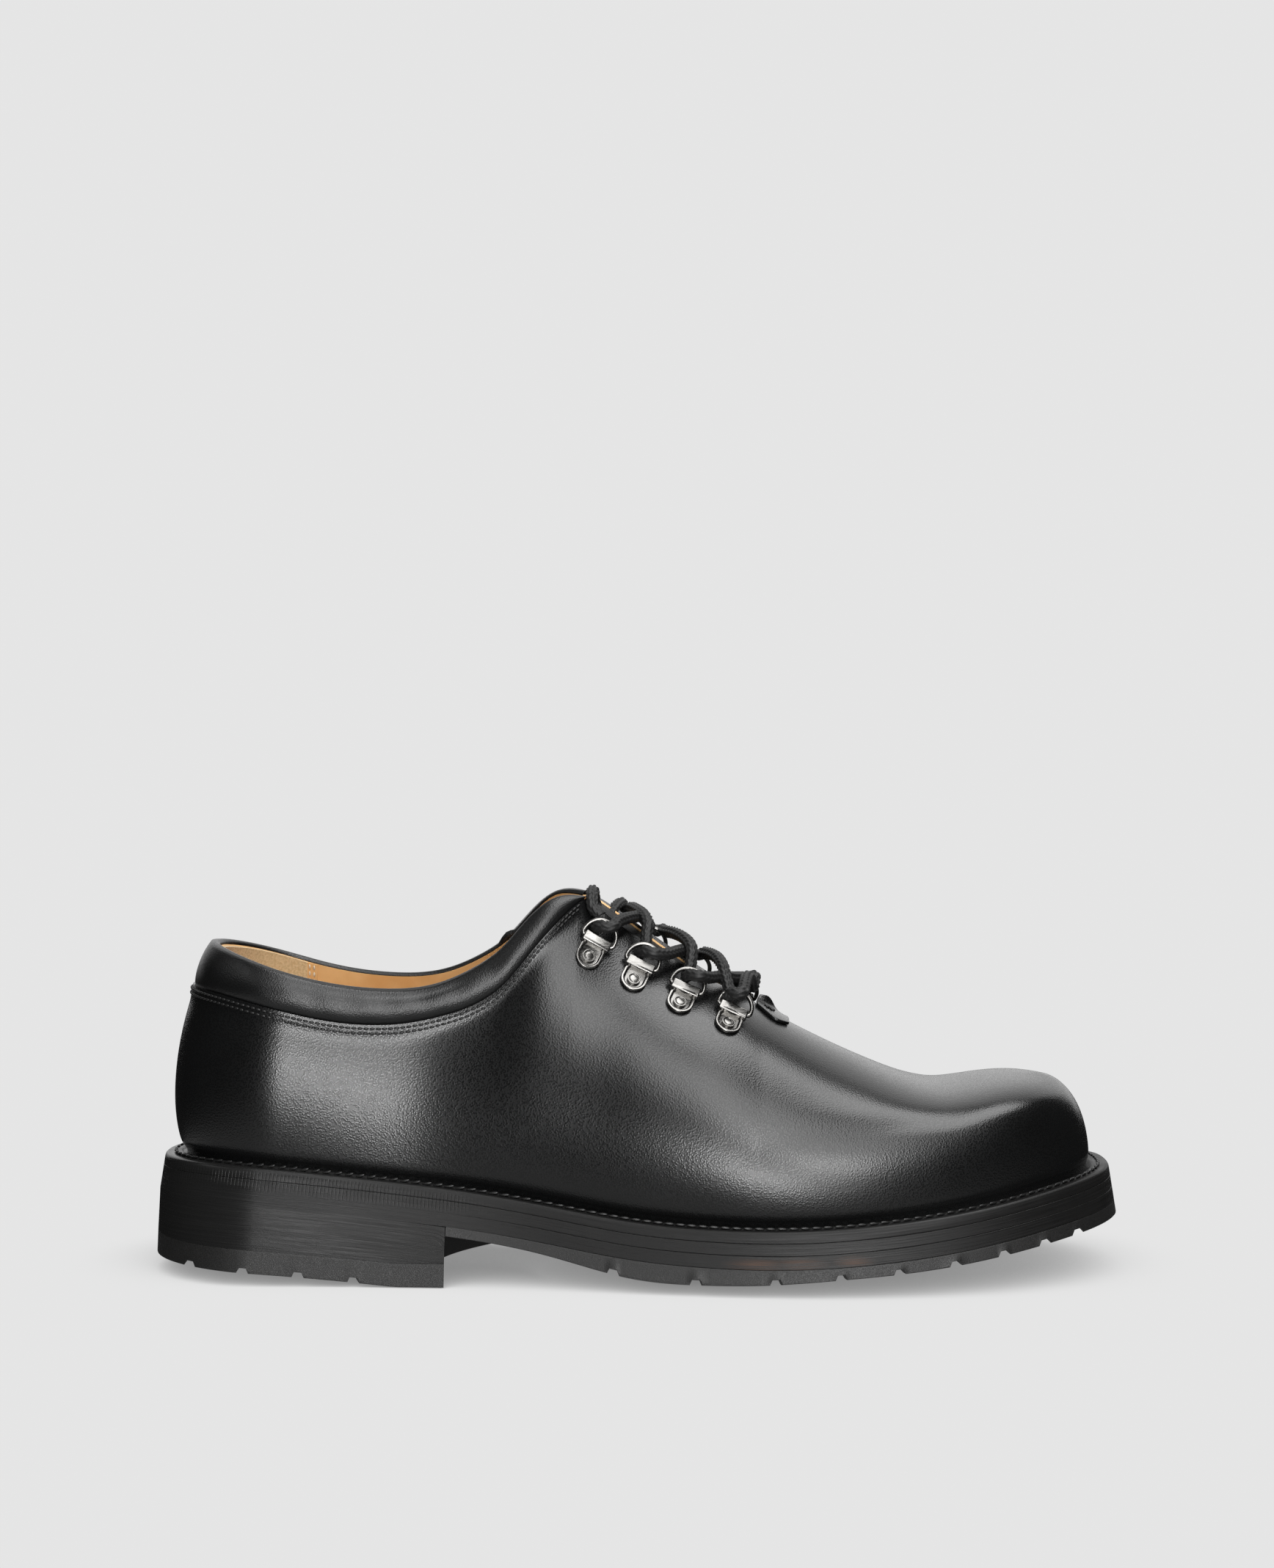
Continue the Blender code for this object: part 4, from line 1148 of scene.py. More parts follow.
@dataclass
class SoleUnit:
    """Welt, midsole, outsole, rubber forepart and heel, all from one outline."""

    outline: SoleOutline
    flare: float = 0.16
    welt_thickness: float = 3.55
    midsole_end: float = 7.2
    outsole_end: float = 11.35
    seam: float = 0.06
    lip: float = 0.12
    crown_flat: float = 0.45
    crown_power: float = 1.7
    bead_height: float = 0.45
    stitch_inside: float = 3.3
    stitch_pitch: float = 3.5
    stitch_length: float = 3.3
    stitch_height: float = 0.62
    stitch_slant: float = 6.0
    thread_radius: float = 0.5
    breast_gap: float = 0.3
    breast_lateral: float = 94.5
    breast_slant: float = 5.6
    breast_hollow: float = 11.5
    lift_thickness: float = 7.2
    stack_flare: float = 0.7
    lift_flare: float = 1.0
    flat_from: float = 78.0
    back_rise: float = 5.2
    rocker: float = 1.6
    groove_width: float = 3.0
    groove_wall: float = 0.7
    groove_depth: float = 1.6
    forepart_grooves: tuple[float, ...] = (146.0, 171.0, 195.0, 214.5, 232.0, 249.0, 264.0, 277.0, 288.0)
    heel_grooves: tuple[float, ...] = (16.0, 33.0, 50.0, 67.0)

    def crown(self, x: Array, q: Array | float) -> Array:
        """How far a place across the sole hangs below its edge."""
        beyond = np.clip((np.abs(q) - self.crown_flat) / (1 - self.crown_flat), 0.0, None)
        return BED.at("crown", x) * (1 - beyond**self.crown_power)

    def ring(self, x: Array, side: Array, profile: Sequence[tuple]) -> tuple[Array, Array]:
        """Points of a layer all the way round.

        Args:
            x: Stations round the edge.
            side: Their sides.
            profile: Share across, distance inside the edge and depth of each point, from the
                middle of the top over the edge to the middle of the underside.

        Returns:
            The points and their depths.
        """
        columns, depths = [], []
        for q, inward, depth in profile:
            depth = np.broadcast_to(depth, x.shape)
            rim = self.outline.edge(x, side, depth * self.flare - inward)
            middle = OUTLINE.at("swing", x)
            z = BED.at("edge_z", rim[:, 0]) - depth - self.crown(x, q)
            columns.append(np.stack((rim[:, 0], middle + (rim[:, 1] - middle) * q, z), -1))
            depths.append(depth)
        return np.stack(columns, 1), np.stack(depths, 1)

    def lipped(self, x: Array, top: Array, bottom: Array) -> list[tuple]:
        """Profile of a layer between two depths, with lips that are rounded in front only."""
        lip = 0.02 + self.lip * self.opening(x) / self.seam
        half = [(q, 0.0, 0.0) for q in (0.0, self.crown_flat, 0.8)]
        half += [(1.0, lip, 0.0), (1.0, lip * 0.3, lip * 0.3), (1.0, 0.0, lip), (1.0, 0.0, lip * 1.5 + 0.06)]
        upper = [(q, inward, top + depth) for q, inward, depth in half]
        sides = [(1.0, 0.0, top + (bottom - top) * s) for s in (0.25, 0.5, 0.75)]
        lower = [(q, inward, bottom - depth) for q, inward, depth in half[::-1]]
        return upper + sides + lower

    @staticmethod
    def band(name: str, points: Array, run: Array, depths: Array) -> Piece:
        """A closed band of the sole, with a pattern that follows its edge.

        Args:
            name: The piece's name.
            points: Rows of points across the edge.
            run: Distance of each row along the edge.
            depths: Depth of each point below the welt's edge.

        Returns:
            The band.
        """
        uv = np.stack((np.broadcast_to(run[:, None], depths.shape), depths), -1) * METRES
        obj = lay_grid(name, points, uv)
        weld(obj)
        smooth(obj, 50)
        return obj

    def layer(self, name: str, top: float, bottom: float) -> Piece:
        """A leather layer of the sole between two depths below the welt's edge."""
        x, side, run = self.outline.perimeter(40, 110, 50)
        gap = self.opening(x) / 2
        points, depths = self.ring(x, side, self.lipped(x, top + gap, bottom - gap))
        return self.band(name, points, run, depths)

    def opening(self, x: Array) -> Array:
        """Width of the line between two layers: nothing at the polished heel, fine in front."""
        return self.seam * smooth_step((x - 88.0) / 45.0)

    def make_welt(self, wardrobe: Wardrobe) -> None:
        """Storm welt with its ledge, its bead against the upper and its stitches."""
        x, side, run = self.outline.perimeter(44, 130, 60)
        bottom = self.welt_thickness
        bead = ((3.5, 0.55), (4.0, 0.93), (4.5, 1.0), (5.0, 0.8), (5.4, 0.35))
        profile = [
            (8.0, bottom), (0.3, bottom), (0.05, bottom - 0.12), (0.0, bottom - 0.3), (0.0, 1.9),
            (0.02, 1.0), (0.18, 0.45), (0.5, 0.12), (1.0, 0.0), (1.9, 0.02), (2.7, 0.12), (3.1, 0.1),
            *((inward, -self.bead_height * share) for inward, share in bead),
            (5.7, 0.2), (8.0, 0.3), (8.0, bottom),
        ]
        columns = []
        for inward, depth in profile:
            plan = self.outline.edge(x, side, max(depth, 0.0) * self.flare - inward)
            columns.append(np.column_stack((plan, BED.at("edge_z", plan[:, 0]) - depth)))
        points = np.stack(columns, 1)
        depths = np.broadcast_to([depth for _, depth in profile], points.shape[:2])
        welt = self.band("storm_welt_strip", points, run, depths)
        finish_piece(welt, wardrobe.edge, ["storm_welt"])
        plan = self.outline.edge(x, side, -self.stitch_inside)
        height = BED.at("edge_z", plan[:, 0]) + self.bead_height * self.stitch_height
        outward = self.outline.edge(x, side, 1.0) - self.outline.edge(x, side)
        leaning = np.column_stack((outward, np.full(len(x), 1.3)))
        places, normals = spaced(np.column_stack((plan, height)), leaning, self.stitch_pitch)
        length, radius, slant = self.stitch_length, self.thread_radius, self.stitch_slant
        row = sew("welt_stitches", places, normals, length, radius, slant=slant)
        finish_piece(row, wardrobe.welt_thread)

    def make_layers(self, wardrobe: Wardrobe) -> None:
        """Midsole and outsole."""
        for name, node, top, bottom in (
            ("midsole_layer", "midsole", self.welt_thickness, self.midsole_end),
            ("outsole_layer", "outsole", self.midsole_end, self.outsole_end),
        ):
            finish_piece(self.layer(name, top, bottom), wardrobe.edge, [node])

    def groove(self, x: Array, grooves: Sequence[float]) -> Array:
        """Depth of the tread grooves at stations."""
        nearest = np.min(np.abs(np.subtract.outer(x, grooves)), axis=1)
        share = (self.groove_width / 2 + self.groove_wall / 2 - nearest) / self.groove_wall
        return self.groove_depth * np.clip(share, 0.0, 1.0)

    def grooved(self, stations: Array, grooves: Sequence[float]) -> Array:
        """Stations with the brinks and feet of the grooves' walls put in."""
        half, wall = self.groove_width / 2, self.groove_wall / 2
        walls = [g + s * (half + w) for g in grooves for s in (-1, 1) for w in (-wall, wall)]
        clear = [x for x in stations if min(abs(x - w) for w in walls) > 0.25]
        return np.array(sorted(clear + walls))

    def breast(self, q: Array) -> Array:
        """The hollow, slanted front face of the heel from the lateral to the medial corner."""
        return self.breast_lateral + self.breast_slant * (q + 1) - self.breast_hollow * (1 - q * q)

    def block(
        self, name: str, stations: Array, place: Placing, top: Facing, bottom: Facing, lip: float
    ) -> Piece:
        """A solid of the sole that ends in a face across the shoe.

        Args:
            name: The piece's name.
            stations: Nominal stations from end to end.
            place: Gives the true station for a nominal one and a share across.
            top: Gives depth growth and height of the top at stations, plan points and shares.
            bottom: The same for the underside.
            lip: Roundness of its edges.

        Returns:
            The block.
        """
        inner = np.linspace(-0.94, 0.94, 21)
        levels = np.linspace(0.12, 0.88, 5)
        wall = [(lip, 0.0), (0.0, lip), *((0.0, level) for level in levels), (0.0, 1 - lip), (lip, 1.0)]
        ring = [(q, 0.0, 0.0) for q in inner]
        ring += [(1.0, inward, level) for inward, level in wall]
        ring += [(q, 0.0, 1.0) for q in inner[::-1]]
        ring += [(-1.0, inward, level) for inward, level in wall[::-1]]
        ring.append(ring[0])
        columns, depths = [], []
        for q, inward, level in ring:
            x = place(stations, np.full(len(stations), q))
            side = -1 if q < 0 else 1
            grow = top(x, stations, q)[0] * (1 - level) + bottom(x, stations, q)[0] * level
            rim = self.outline.edge(x, side, grow - inward)
            middle = OUTLINE.at("swing", x)
            high, low = top(rim[:, 0], stations, q)[1], bottom(rim[:, 0], stations, q)[1]
            z = high * (1 - level) + low * level
            columns.append(np.stack((rim[:, 0], middle + (rim[:, 1] - middle) * abs(q), z), -1))
            depths.append(BED.at("edge_z", rim[:, 0]) - z)
        points, depths = np.stack(columns, 1), np.stack(depths, 1)
        shut = (points + points[:, self.mirror(len(inner), len(levels))]) / 2
        points = np.concatenate((shut[:1], points, shut[-1:]))
        depths = np.concatenate((depths[:1], depths, depths[-1:]))
        uv = np.stack((points[:, :, 0], depths), -1) * METRES
        obj = lay_grid(name, points, uv)
        weld(obj)
        smooth(obj, 40)
        return obj

    @staticmethod
    def mirror(inner: int, levels: int) -> list[int]:
        """For each place of a block's ring, the place above or below it."""
        side = levels + 4
        top = list(range(inner))
        right = list(range(inner, inner + side))
        bottom = list(range(inner + side, 2 * inner + side))
        left = list(range(2 * inner + side, 2 * inner + 2 * side))
        return bottom[::-1] + right[::-1] + top[::-1] + left[::-1] + [bottom[-1]]

    def make_tread(self, wardrobe: Wardrobe) -> None:
        """Rubber forepart, notched across, from the heel's breast to the toe."""
        start = self.breast_lateral + self.breast_gap
        plain = self.outline.stations(10, 110, 40)
        stations = np.append(start, self.grooved(plain[plain > start + 1], self.forepart_grooves))

        def place(x: Array, q: Array) -> Array:
            """True stations: behind the breast the rows follow its hollow."""
            behind = 1 - smooth_step((x - start) / 40.0)
            return x + behind * (self.breast(q) + self.breast_gap - start)

        def top(x: Array, nominal: Array, q: float) -> tuple[Array, Array]:
            """Growth and height of the top."""
            depth = self.outsole_end + self.opening(x) / 2
            return depth * self.flare, BED.at("edge_z", x) - depth - self.crown(x, q)

        def bottom(x: Array, nominal: Array, q: float) -> tuple[Array, Array]:
            """Growth and height of the underside, with its grooves."""
            depth = BED.at("stack", x)
            z = np.maximum(BED.at("edge_z", x) - depth - self.crown(x, q), 0.0)
            return depth * self.flare, z + self.groove(nominal, self.forepart_grooves)

        tread = self.block("forepart_tread", stations, place, top, bottom, 0.06)
        finish_piece(tread, wardrobe.rubber, ["rubber_forepart"])

    def make_heel(self, wardrobe: Wardrobe) -> None:
        """Stacked heel and its notched rubber top lift."""
        plain = self.outline.stations(26, 60, 8)
        plain = plain[plain < self.breast_lateral - 0.6]
        seat_grow = self.outsole_end * self.flare
        stack_grow = seat_grow + self.stack_flare

        def floor(x: Array) -> Array:
            """Underside of the heel: flat in front, rising a little to the back."""
            share = np.clip(x, 0.0, None) / self.flat_from
            return self.back_rise * np.clip(1 - share**self.rocker, 0.0, None)

        def place(x: Array, q: Array) -> Array:
            """True stations: near the breast the rows follow its hollow."""
            nominal = (x - self.outline.back) / (self.breast_lateral - self.outline.back)
            near = smooth_step((nominal - 0.375) / 0.625)
            return x + near * (self.breast(q) - self.breast_lateral)

        def seat(x: Array, nominal: Array, q: float) -> tuple[Array, Array]:
            """Growth and height of the stack's top, under the outsole."""
            return x * 0 + seat_grow, BED.at("edge_z", x) - self.outsole_end - BED.at("crown", x)

        def stack_foot(x: Array, nominal: Array, q: float) -> tuple[Array, Array]:
            """Growth and height of the stack's underside."""
            return x * 0 + stack_grow, floor(x) + self.lift_thickness + self.seam

        def lift_top(x: Array, nominal: Array, q: float) -> tuple[Array, Array]:
            """Growth and height of the lift's top."""
            return x * 0 + stack_grow, floor(x) + self.lift_thickness

        def lift_foot(x: Array, nominal: Array, q: float) -> tuple[Array, Array]:
            """Growth and height of the lift's underside, with its grooves."""
            grow = seat_grow + self.lift_flare
            return x * 0 + grow, floor(x) + self.groove(nominal, self.heel_grooves)

        ends = np.append(plain, self.breast_lateral)
        stack = self.block("heel_stack_lifts", ends, place, seat, stack_foot, 0.02)
        finish_piece(stack, wardrobe.edge, ["heel_stack"])
        grooved = np.append(self.grooved(plain, self.heel_grooves), self.breast_lateral)
        lift = self.block("heel_lift_rubber", grooved, place, lift_top, lift_foot, 0.03)
        finish_piece(lift, wardrobe.rubber, ["heel_top_lift"])

    def build(self, wardrobe: Wardrobe) -> None:
        """Makes and dresses the whole sole."""
        self.make_welt(wardrobe)
        self.make_layers(wardrobe)
        self.make_tread(wardrobe)
        self.make_heel(wardrobe)


# Upper


@dataclass
class Upper:
    """Wholecut body with its stitch rows, lining, heel grip and insole."""

    last: Last
    calf: float = 1.3
    lining_depth: float = 1.45
    lining_thickness: float = 0.7
    lining_drop: float = 0.95
    lining_low: float = 0.008
    edge_lift: float = 0.95
    lift_reach: float = 3.4
    throat_show: float = 0.015
    feather: float = 0.9
    feather_reach: float = 2.2
    feather_sink: float = 1.2
    row_one: float = 1.2
    row_two: float = 2.7
    stitch_pitch: float = 1.9
    stitch_length: float = 1.75
    thread_radius: float = 0.42
    grip_end: float = 45.0
    grip_gap: float = 0.05
    grip_thickness: float = 0.5
    grip_drop: float = 1.0
    grip_low: float = 0.12
    band_gap: float = 0.1
    band_wall: float = 0.35
    band_rows: tuple[int, ...] = (2, 5)
    band_pitch: float = 2.4
    band_stitch: float = 1.7
    band_thread: float = 0.36
    crease_depth: float = 0.42
    crease_reach: float = 4.2
    crease_line: tuple[tuple[float, float], ...] = (
        (190.0, 0.32), (205.0, 0.37), (218.0, 0.41), (232.0, 0.44), (248.0, 0.495), (264.0, 0.55),
    )
    welt_share: float = 0.05
    welt_rows: int = 5
    rows: int = 52

    def stations(self) -> Array:
        """Stations of the upper's sections."""
        return self.last.outline.stations(34, 170, 60)

    def seam_distance(self, foot: Array) -> Array:
        """How far below its top edge each section of the body ends, under the padded collar."""
        top_x = TOP_OF_FOOT.at("top", foot)
        return np.where(top_x < self.last.throat_top, COLLAR.at("width", top_x), 0.0)

    def body_side(self, side: Side) -> Array:
        """Points of one side of the body, lifted where it overlaps the collar."""
        foot = self.stations()
        seam = self.seam_distance(foot)
        top = self.last.below_top(side, foot, seam[:, None])[:, 0]
        by_welt = np.linspace(0, self.welt_share, self.welt_rows + 1)[:-1]
        t = top[:, None] * np.append(by_welt, np.linspace(self.welt_share, 1, self.rows))
        points, normals, _ = self.last.frames(side, foot, t)
        near_welt = np.linalg.norm(points - points[:, :1], axis=2)
        near_edge = np.linalg.norm(points - points[:, -1:], axis=2)
        on_collar = smooth_step(seam / 4.0)[:, None]
        lift = self.edge_lift * on_collar * bell(near_edge / self.lift_reach)
        tuck = self.feather * bell(near_welt / self.feather_reach)
        points = points + normals * (lift - tuck)[..., None]
        points[:, 0, 2] -= self.feather_sink
        return points

    def crease(self, points: Array) -> Array:
        """Depth of the soft crease along the outer side of the vamp, in millimetres."""
        feet, shares = np.array(self.crease_line).T
        fine = np.linspace(feet[0], feet[-1], 60)
        path = self.last.points(Side.LATERAL, fine, np.interp(fine, feet, shares)[:, None])[:, 0]
        gaps = np.linalg.norm(points[:, None, :] - path[None, :, :], axis=2)
        nearest = np.argmin(gaps, axis=1)
        reach = gaps[np.arange(len(points)), nearest]
        along = nearest / (len(path) - 1)
        fade = np.sin(math.pi * np.clip(along, 0.0, 1.0)) ** 0.7
        return self.crease_depth * fade * bell(reach / self.crease_reach)

    def make_body(self, wardrobe: Wardrobe) -> None:
        """The one piece of calf, from the welt to collar seam, throat and ridge."""
        sides = []
        for side in Side:
            sides.append(lay_grid("body_" + side.name.lower(), self.body_side(side)))
        body = join("wholecut_body", sides)
        weld(body)
        places = mesh_points(body)
        hollow = self.crease(places / METRES + FLOOR_POINT)
        move_points(body, places - mesh_normals(body) * hollow[:, None] * METRES)
        thicken(body, self.calf)
        smooth(body, 50)
        finish_piece(body, wardrobe.calf, ["upper"])

    def make_rows(self, wardrobe: Wardrobe) -> None:
        """Two rows of stitches along the body's top edge, round the heel."""
        foot = self.stations()
        foot = foot[TOP_OF_FOOT.at("top", foot) < self.last.throat_top - 1.0]
        for number, below in enumerate((self.row_one, self.row_two), 1):
            path, out = [], []
            for side, order in ((Side.LATERAL, -1), (Side.MEDIAL, 1)):
                seam = self.seam_distance(foot)
                t = self.last.below_top(side, foot, (seam + below)[:, None])
                points, normals, _ = self.last.frames(side, foot, t)
                lift = self.edge_lift * smooth_step(seam / 4.0) * bell(below / self.lift_reach)
                path.append((points[:, 0] + normals[:, 0] * lift[:, None])[::order])
                out.append(normals[:, 0][::order])
            places, normals = spaced(np.concatenate(path), np.concatenate(out), self.stitch_pitch)
            row = sew(f"collar_stitches_{number}", places, normals, self.stitch_length, self.thread_radius)
            finish_piece(row, wardrobe.thread)

    def inner_sheet(self, name: str, foot: Array, depth: float, drop: float, low: float) -> Piece:
        """A sheet inside the upper over both sides.

        Args:
            name: The sheet's name.
            foot: Stations that it covers.
            depth: How far inside the outer face it lies.
            drop: How far below the rim it ends.
            low: Share of the way up where it starts.

        Returns:
            The sheet.
        """
        sides = []
        for side in Side:
            top_x = TOP_OF_FOOT.at("top", foot)
            ends = np.where(top_x < self.last.throat_top, drop, 0.0)
            ends = np.where(top_x > self.last.throat_end, 0.0, ends)
            top = self.last.below_top(side, foot, ends[:, None])
            below = smooth_step((top_x - self.last.throat_top) / 4.0)
            in_throat = below * smooth_step((self.last.throat_end - 3.0 - top_x) / 6.0)
            top = top + self.throat_show * in_throat[:, None]
            shares = np.linspace(0, 1, 31)
            sides.append(lay_grid(name + side.name, self.last.points(side, foot, low + (top - low) * shares)))
        sheet = join(name, sides)
        weld(sheet)
        move_points(sheet, mesh_points(sheet) - mesh_normals(sheet) * depth * METRES)
        return sheet

    def make_lining(self, wardrobe: Wardrobe) -> None:
        """Tan lining over the whole inside."""
        foot = self.stations()[::2]
        lining = self.inner_sheet("lining", foot, self.lining_depth, self.lining_drop, self.lining_low)
        thicken(lining, self.lining_thickness)
        smooth(lining, 50)
        finish_piece(lining, wardrobe.lining)

    def make_grip(self, wardrobe: Wardrobe) -> None:
        """Suede heel grip and the bands along its front edges."""
        depth = self.lining_depth + self.lining_thickness + self.grip_gap
        back, end = self.last.outline.back, self.last.foot_of(self.grip_end)
        foot = np.linspace(0, 1, 44) ** 1.6 * (end - back) + back
        grip = self.inner_sheet("heel_grip", foot, depth, self.grip_drop, self.grip_low)
        thicken(grip, self.grip_thickness)
        smooth(grip, 50)
        finish_piece(grip, wardrobe.suede)
        for side in Side:
            self.make_band(wardrobe, side, np.linspace(end - 0.3, end + 3.6, 8), depth + self.band_gap)

    def make_band(self, wardrobe: Wardrobe, side: Side, foot: Array, depth: float) -> None:
        """Band over the front edge of the heel grip, with two rows of pale stitches.

        Args:
            wardrobe: The finishes.
            side: Which side.
            foot: Stations that it covers.
            depth: How far inside the outer face it lies.
        """
        name = side.name.lower()
        top = self.last.below_top(side, foot, np.full((len(foot), 1), self.grip_drop))
        t = self.grip_low + (top - self.grip_low) * np.linspace(0, 1, 31)
        points, normals, _ = self.last.frames(side, foot, t)
        band = lay_grid("grip_band_" + name, points - normals * depth)
        weld(band)
        thicken(band, self.band_wall)
        smooth(band, 50)
        finish_piece(band, wardrobe.lining)
        for number, column in enumerate(self.band_rows, 1):
            inward = -normals[column, ::-1]
            path = points[column, ::-1] + inward * (depth + self.band_wall)
            places, out = spaced(path, inward, self.band_pitch)
            row = sew(f"grip_stitches_{name}_{number}", places, out, self.band_stitch, self.band_thread)
            finish_piece(row, wardrobe.pale_thread)

    def dress_insole(self, wardrobe: Wardrobe) -> None:
        """The insole keeps its solid and gets the lining's leather."""
        insole = frame["nodes"]["insole"]
        insole.data.materials.clear()
        insole.data.materials.append(wardrobe.lining)

    def build(self, wardrobe: Wardrobe) -> None:
        """Makes and dresses the upper and its inside."""
        self.make_body(wardrobe)
        self.make_rows(wardrobe)
        self.make_lining(wardrobe)
        self.make_grip(wardrobe)
        self.dress_insole(wardrobe)


@dataclass
class PaddedCollar:
    """Soft leather roll round the rim, from throat corner to throat corner."""

    last: Last
    tuck: float = 2.0
    inner_drop: float = 1.5
    cap: float = 1.0
    rim_half: float = 1.2
    rim_middle: float = -0.8
    heel_reach: float = 9.0
    heel_half: float = 0.1
    heel_lean: float = 0.8
    fold_at: float = 72.0
    fold_reach: float = 24.0
    fold_depth: float = 0.6
    fold_height: float = 0.72
    fold_width: float = 0.055
    ripple: float = 0.10
    nub_at: float = 110.3
    nub_reach: float = 1.7
    nub_height: float = 1.9
    bulge_steps: int = 15
    cap_steps: int = 8

    def section(self, foot: Array, side: Side) -> Array:
        """Rings of the roll at stations: up over the padding, over the rim and back down inside."""
        top_x = TOP_OF_FOOT.at("top", foot)
        width, puff = COLLAR.at("width", top_x), COLLAR.at("puff", top_x)
        level = np.zeros(len(foot))
        small = smooth_step(width / 6.0)
        under = width + self.tuck * small
        rows = [(under, level - 1.35), (under, level - 0.7), (width + 0.5 * small, level - 0.45)]
        back = bell((top_x - self.last.rim_back) / self.heel_reach)
        half, middle = self.rim_half + self.heel_half * back, self.rim_middle + self.heel_lean * back
        edge = middle + half
        here = bell((top_x - self.fold_at) / self.fold_reach, 4)
        for s in np.linspace(0, 1, self.bulge_steps):
            puffed = np.sin(math.pi * (0.02 + 0.86 * s**0.82)) ** 0.72
            fold = self.fold_depth * bell((s - self.fold_height) / self.fold_width) * here
            wave = self.ripple * np.sin(top_x * 0.55 + 2.2 * s) * math.sin(math.pi * s)
            rise = edge * s + (puff - edge * 0.5) * puffed - fold + wave
            rows.append((width + (self.cap - width) * s, np.maximum(rise, -0.2)))
        nub = (side > 0) * self.nub_height * bell((top_x - self.nub_at) / self.nub_reach, 4)
        for angle in np.linspace(0, math.pi, self.cap_steps + 1)[1:]:
            drop = self.cap * (1 - math.sin(angle)) - nub * math.sin(angle)
            rows.append((drop, middle + half * math.cos(angle)))
        inside = level + self.inner_drop
        rows += [(inside, level - 1.75), (inside, level - 1.35), rows[0]]
        columns = []
        for distance, offset in rows:
            t = self.last.below_top(side, foot, np.maximum(distance, 0.0)[:, None])
            points, normals, up = (grid[:, 0] for grid in self.last.frames(side, foot, t))
            above = np.maximum(-distance, 0.0)
            columns.append(points + normals * offset[:, None] + up * above[:, None])
        return np.stack(columns, 1)

    def build(self, wardrobe: Wardrobe) -> None:
        """Makes and dresses the roll."""
        foot = self.last.outline.stations(40, 150, 4)
        end = self.last.foot_of(self.last.throat_top - 0.3)
        foot = np.append(foot[foot < end - 0.4], end)
        lateral = self.section(foot, Side.LATERAL)[::-1]
        medial = self.section(foot, Side.MEDIAL)[1:]
        rings = np.concatenate((lateral, medial))
        ends = [np.repeat(ring.mean(0)[None, None], rings.shape[1], 1) for ring in (rings[0], rings[-1])]
        roll = lay_grid("collar_roll", np.concatenate((ends[0], rings, ends[1])))
        weld(roll)
        smooth(roll, 70)
        finish_piece(roll, wardrobe.soft_calf, ["padded_collar"])


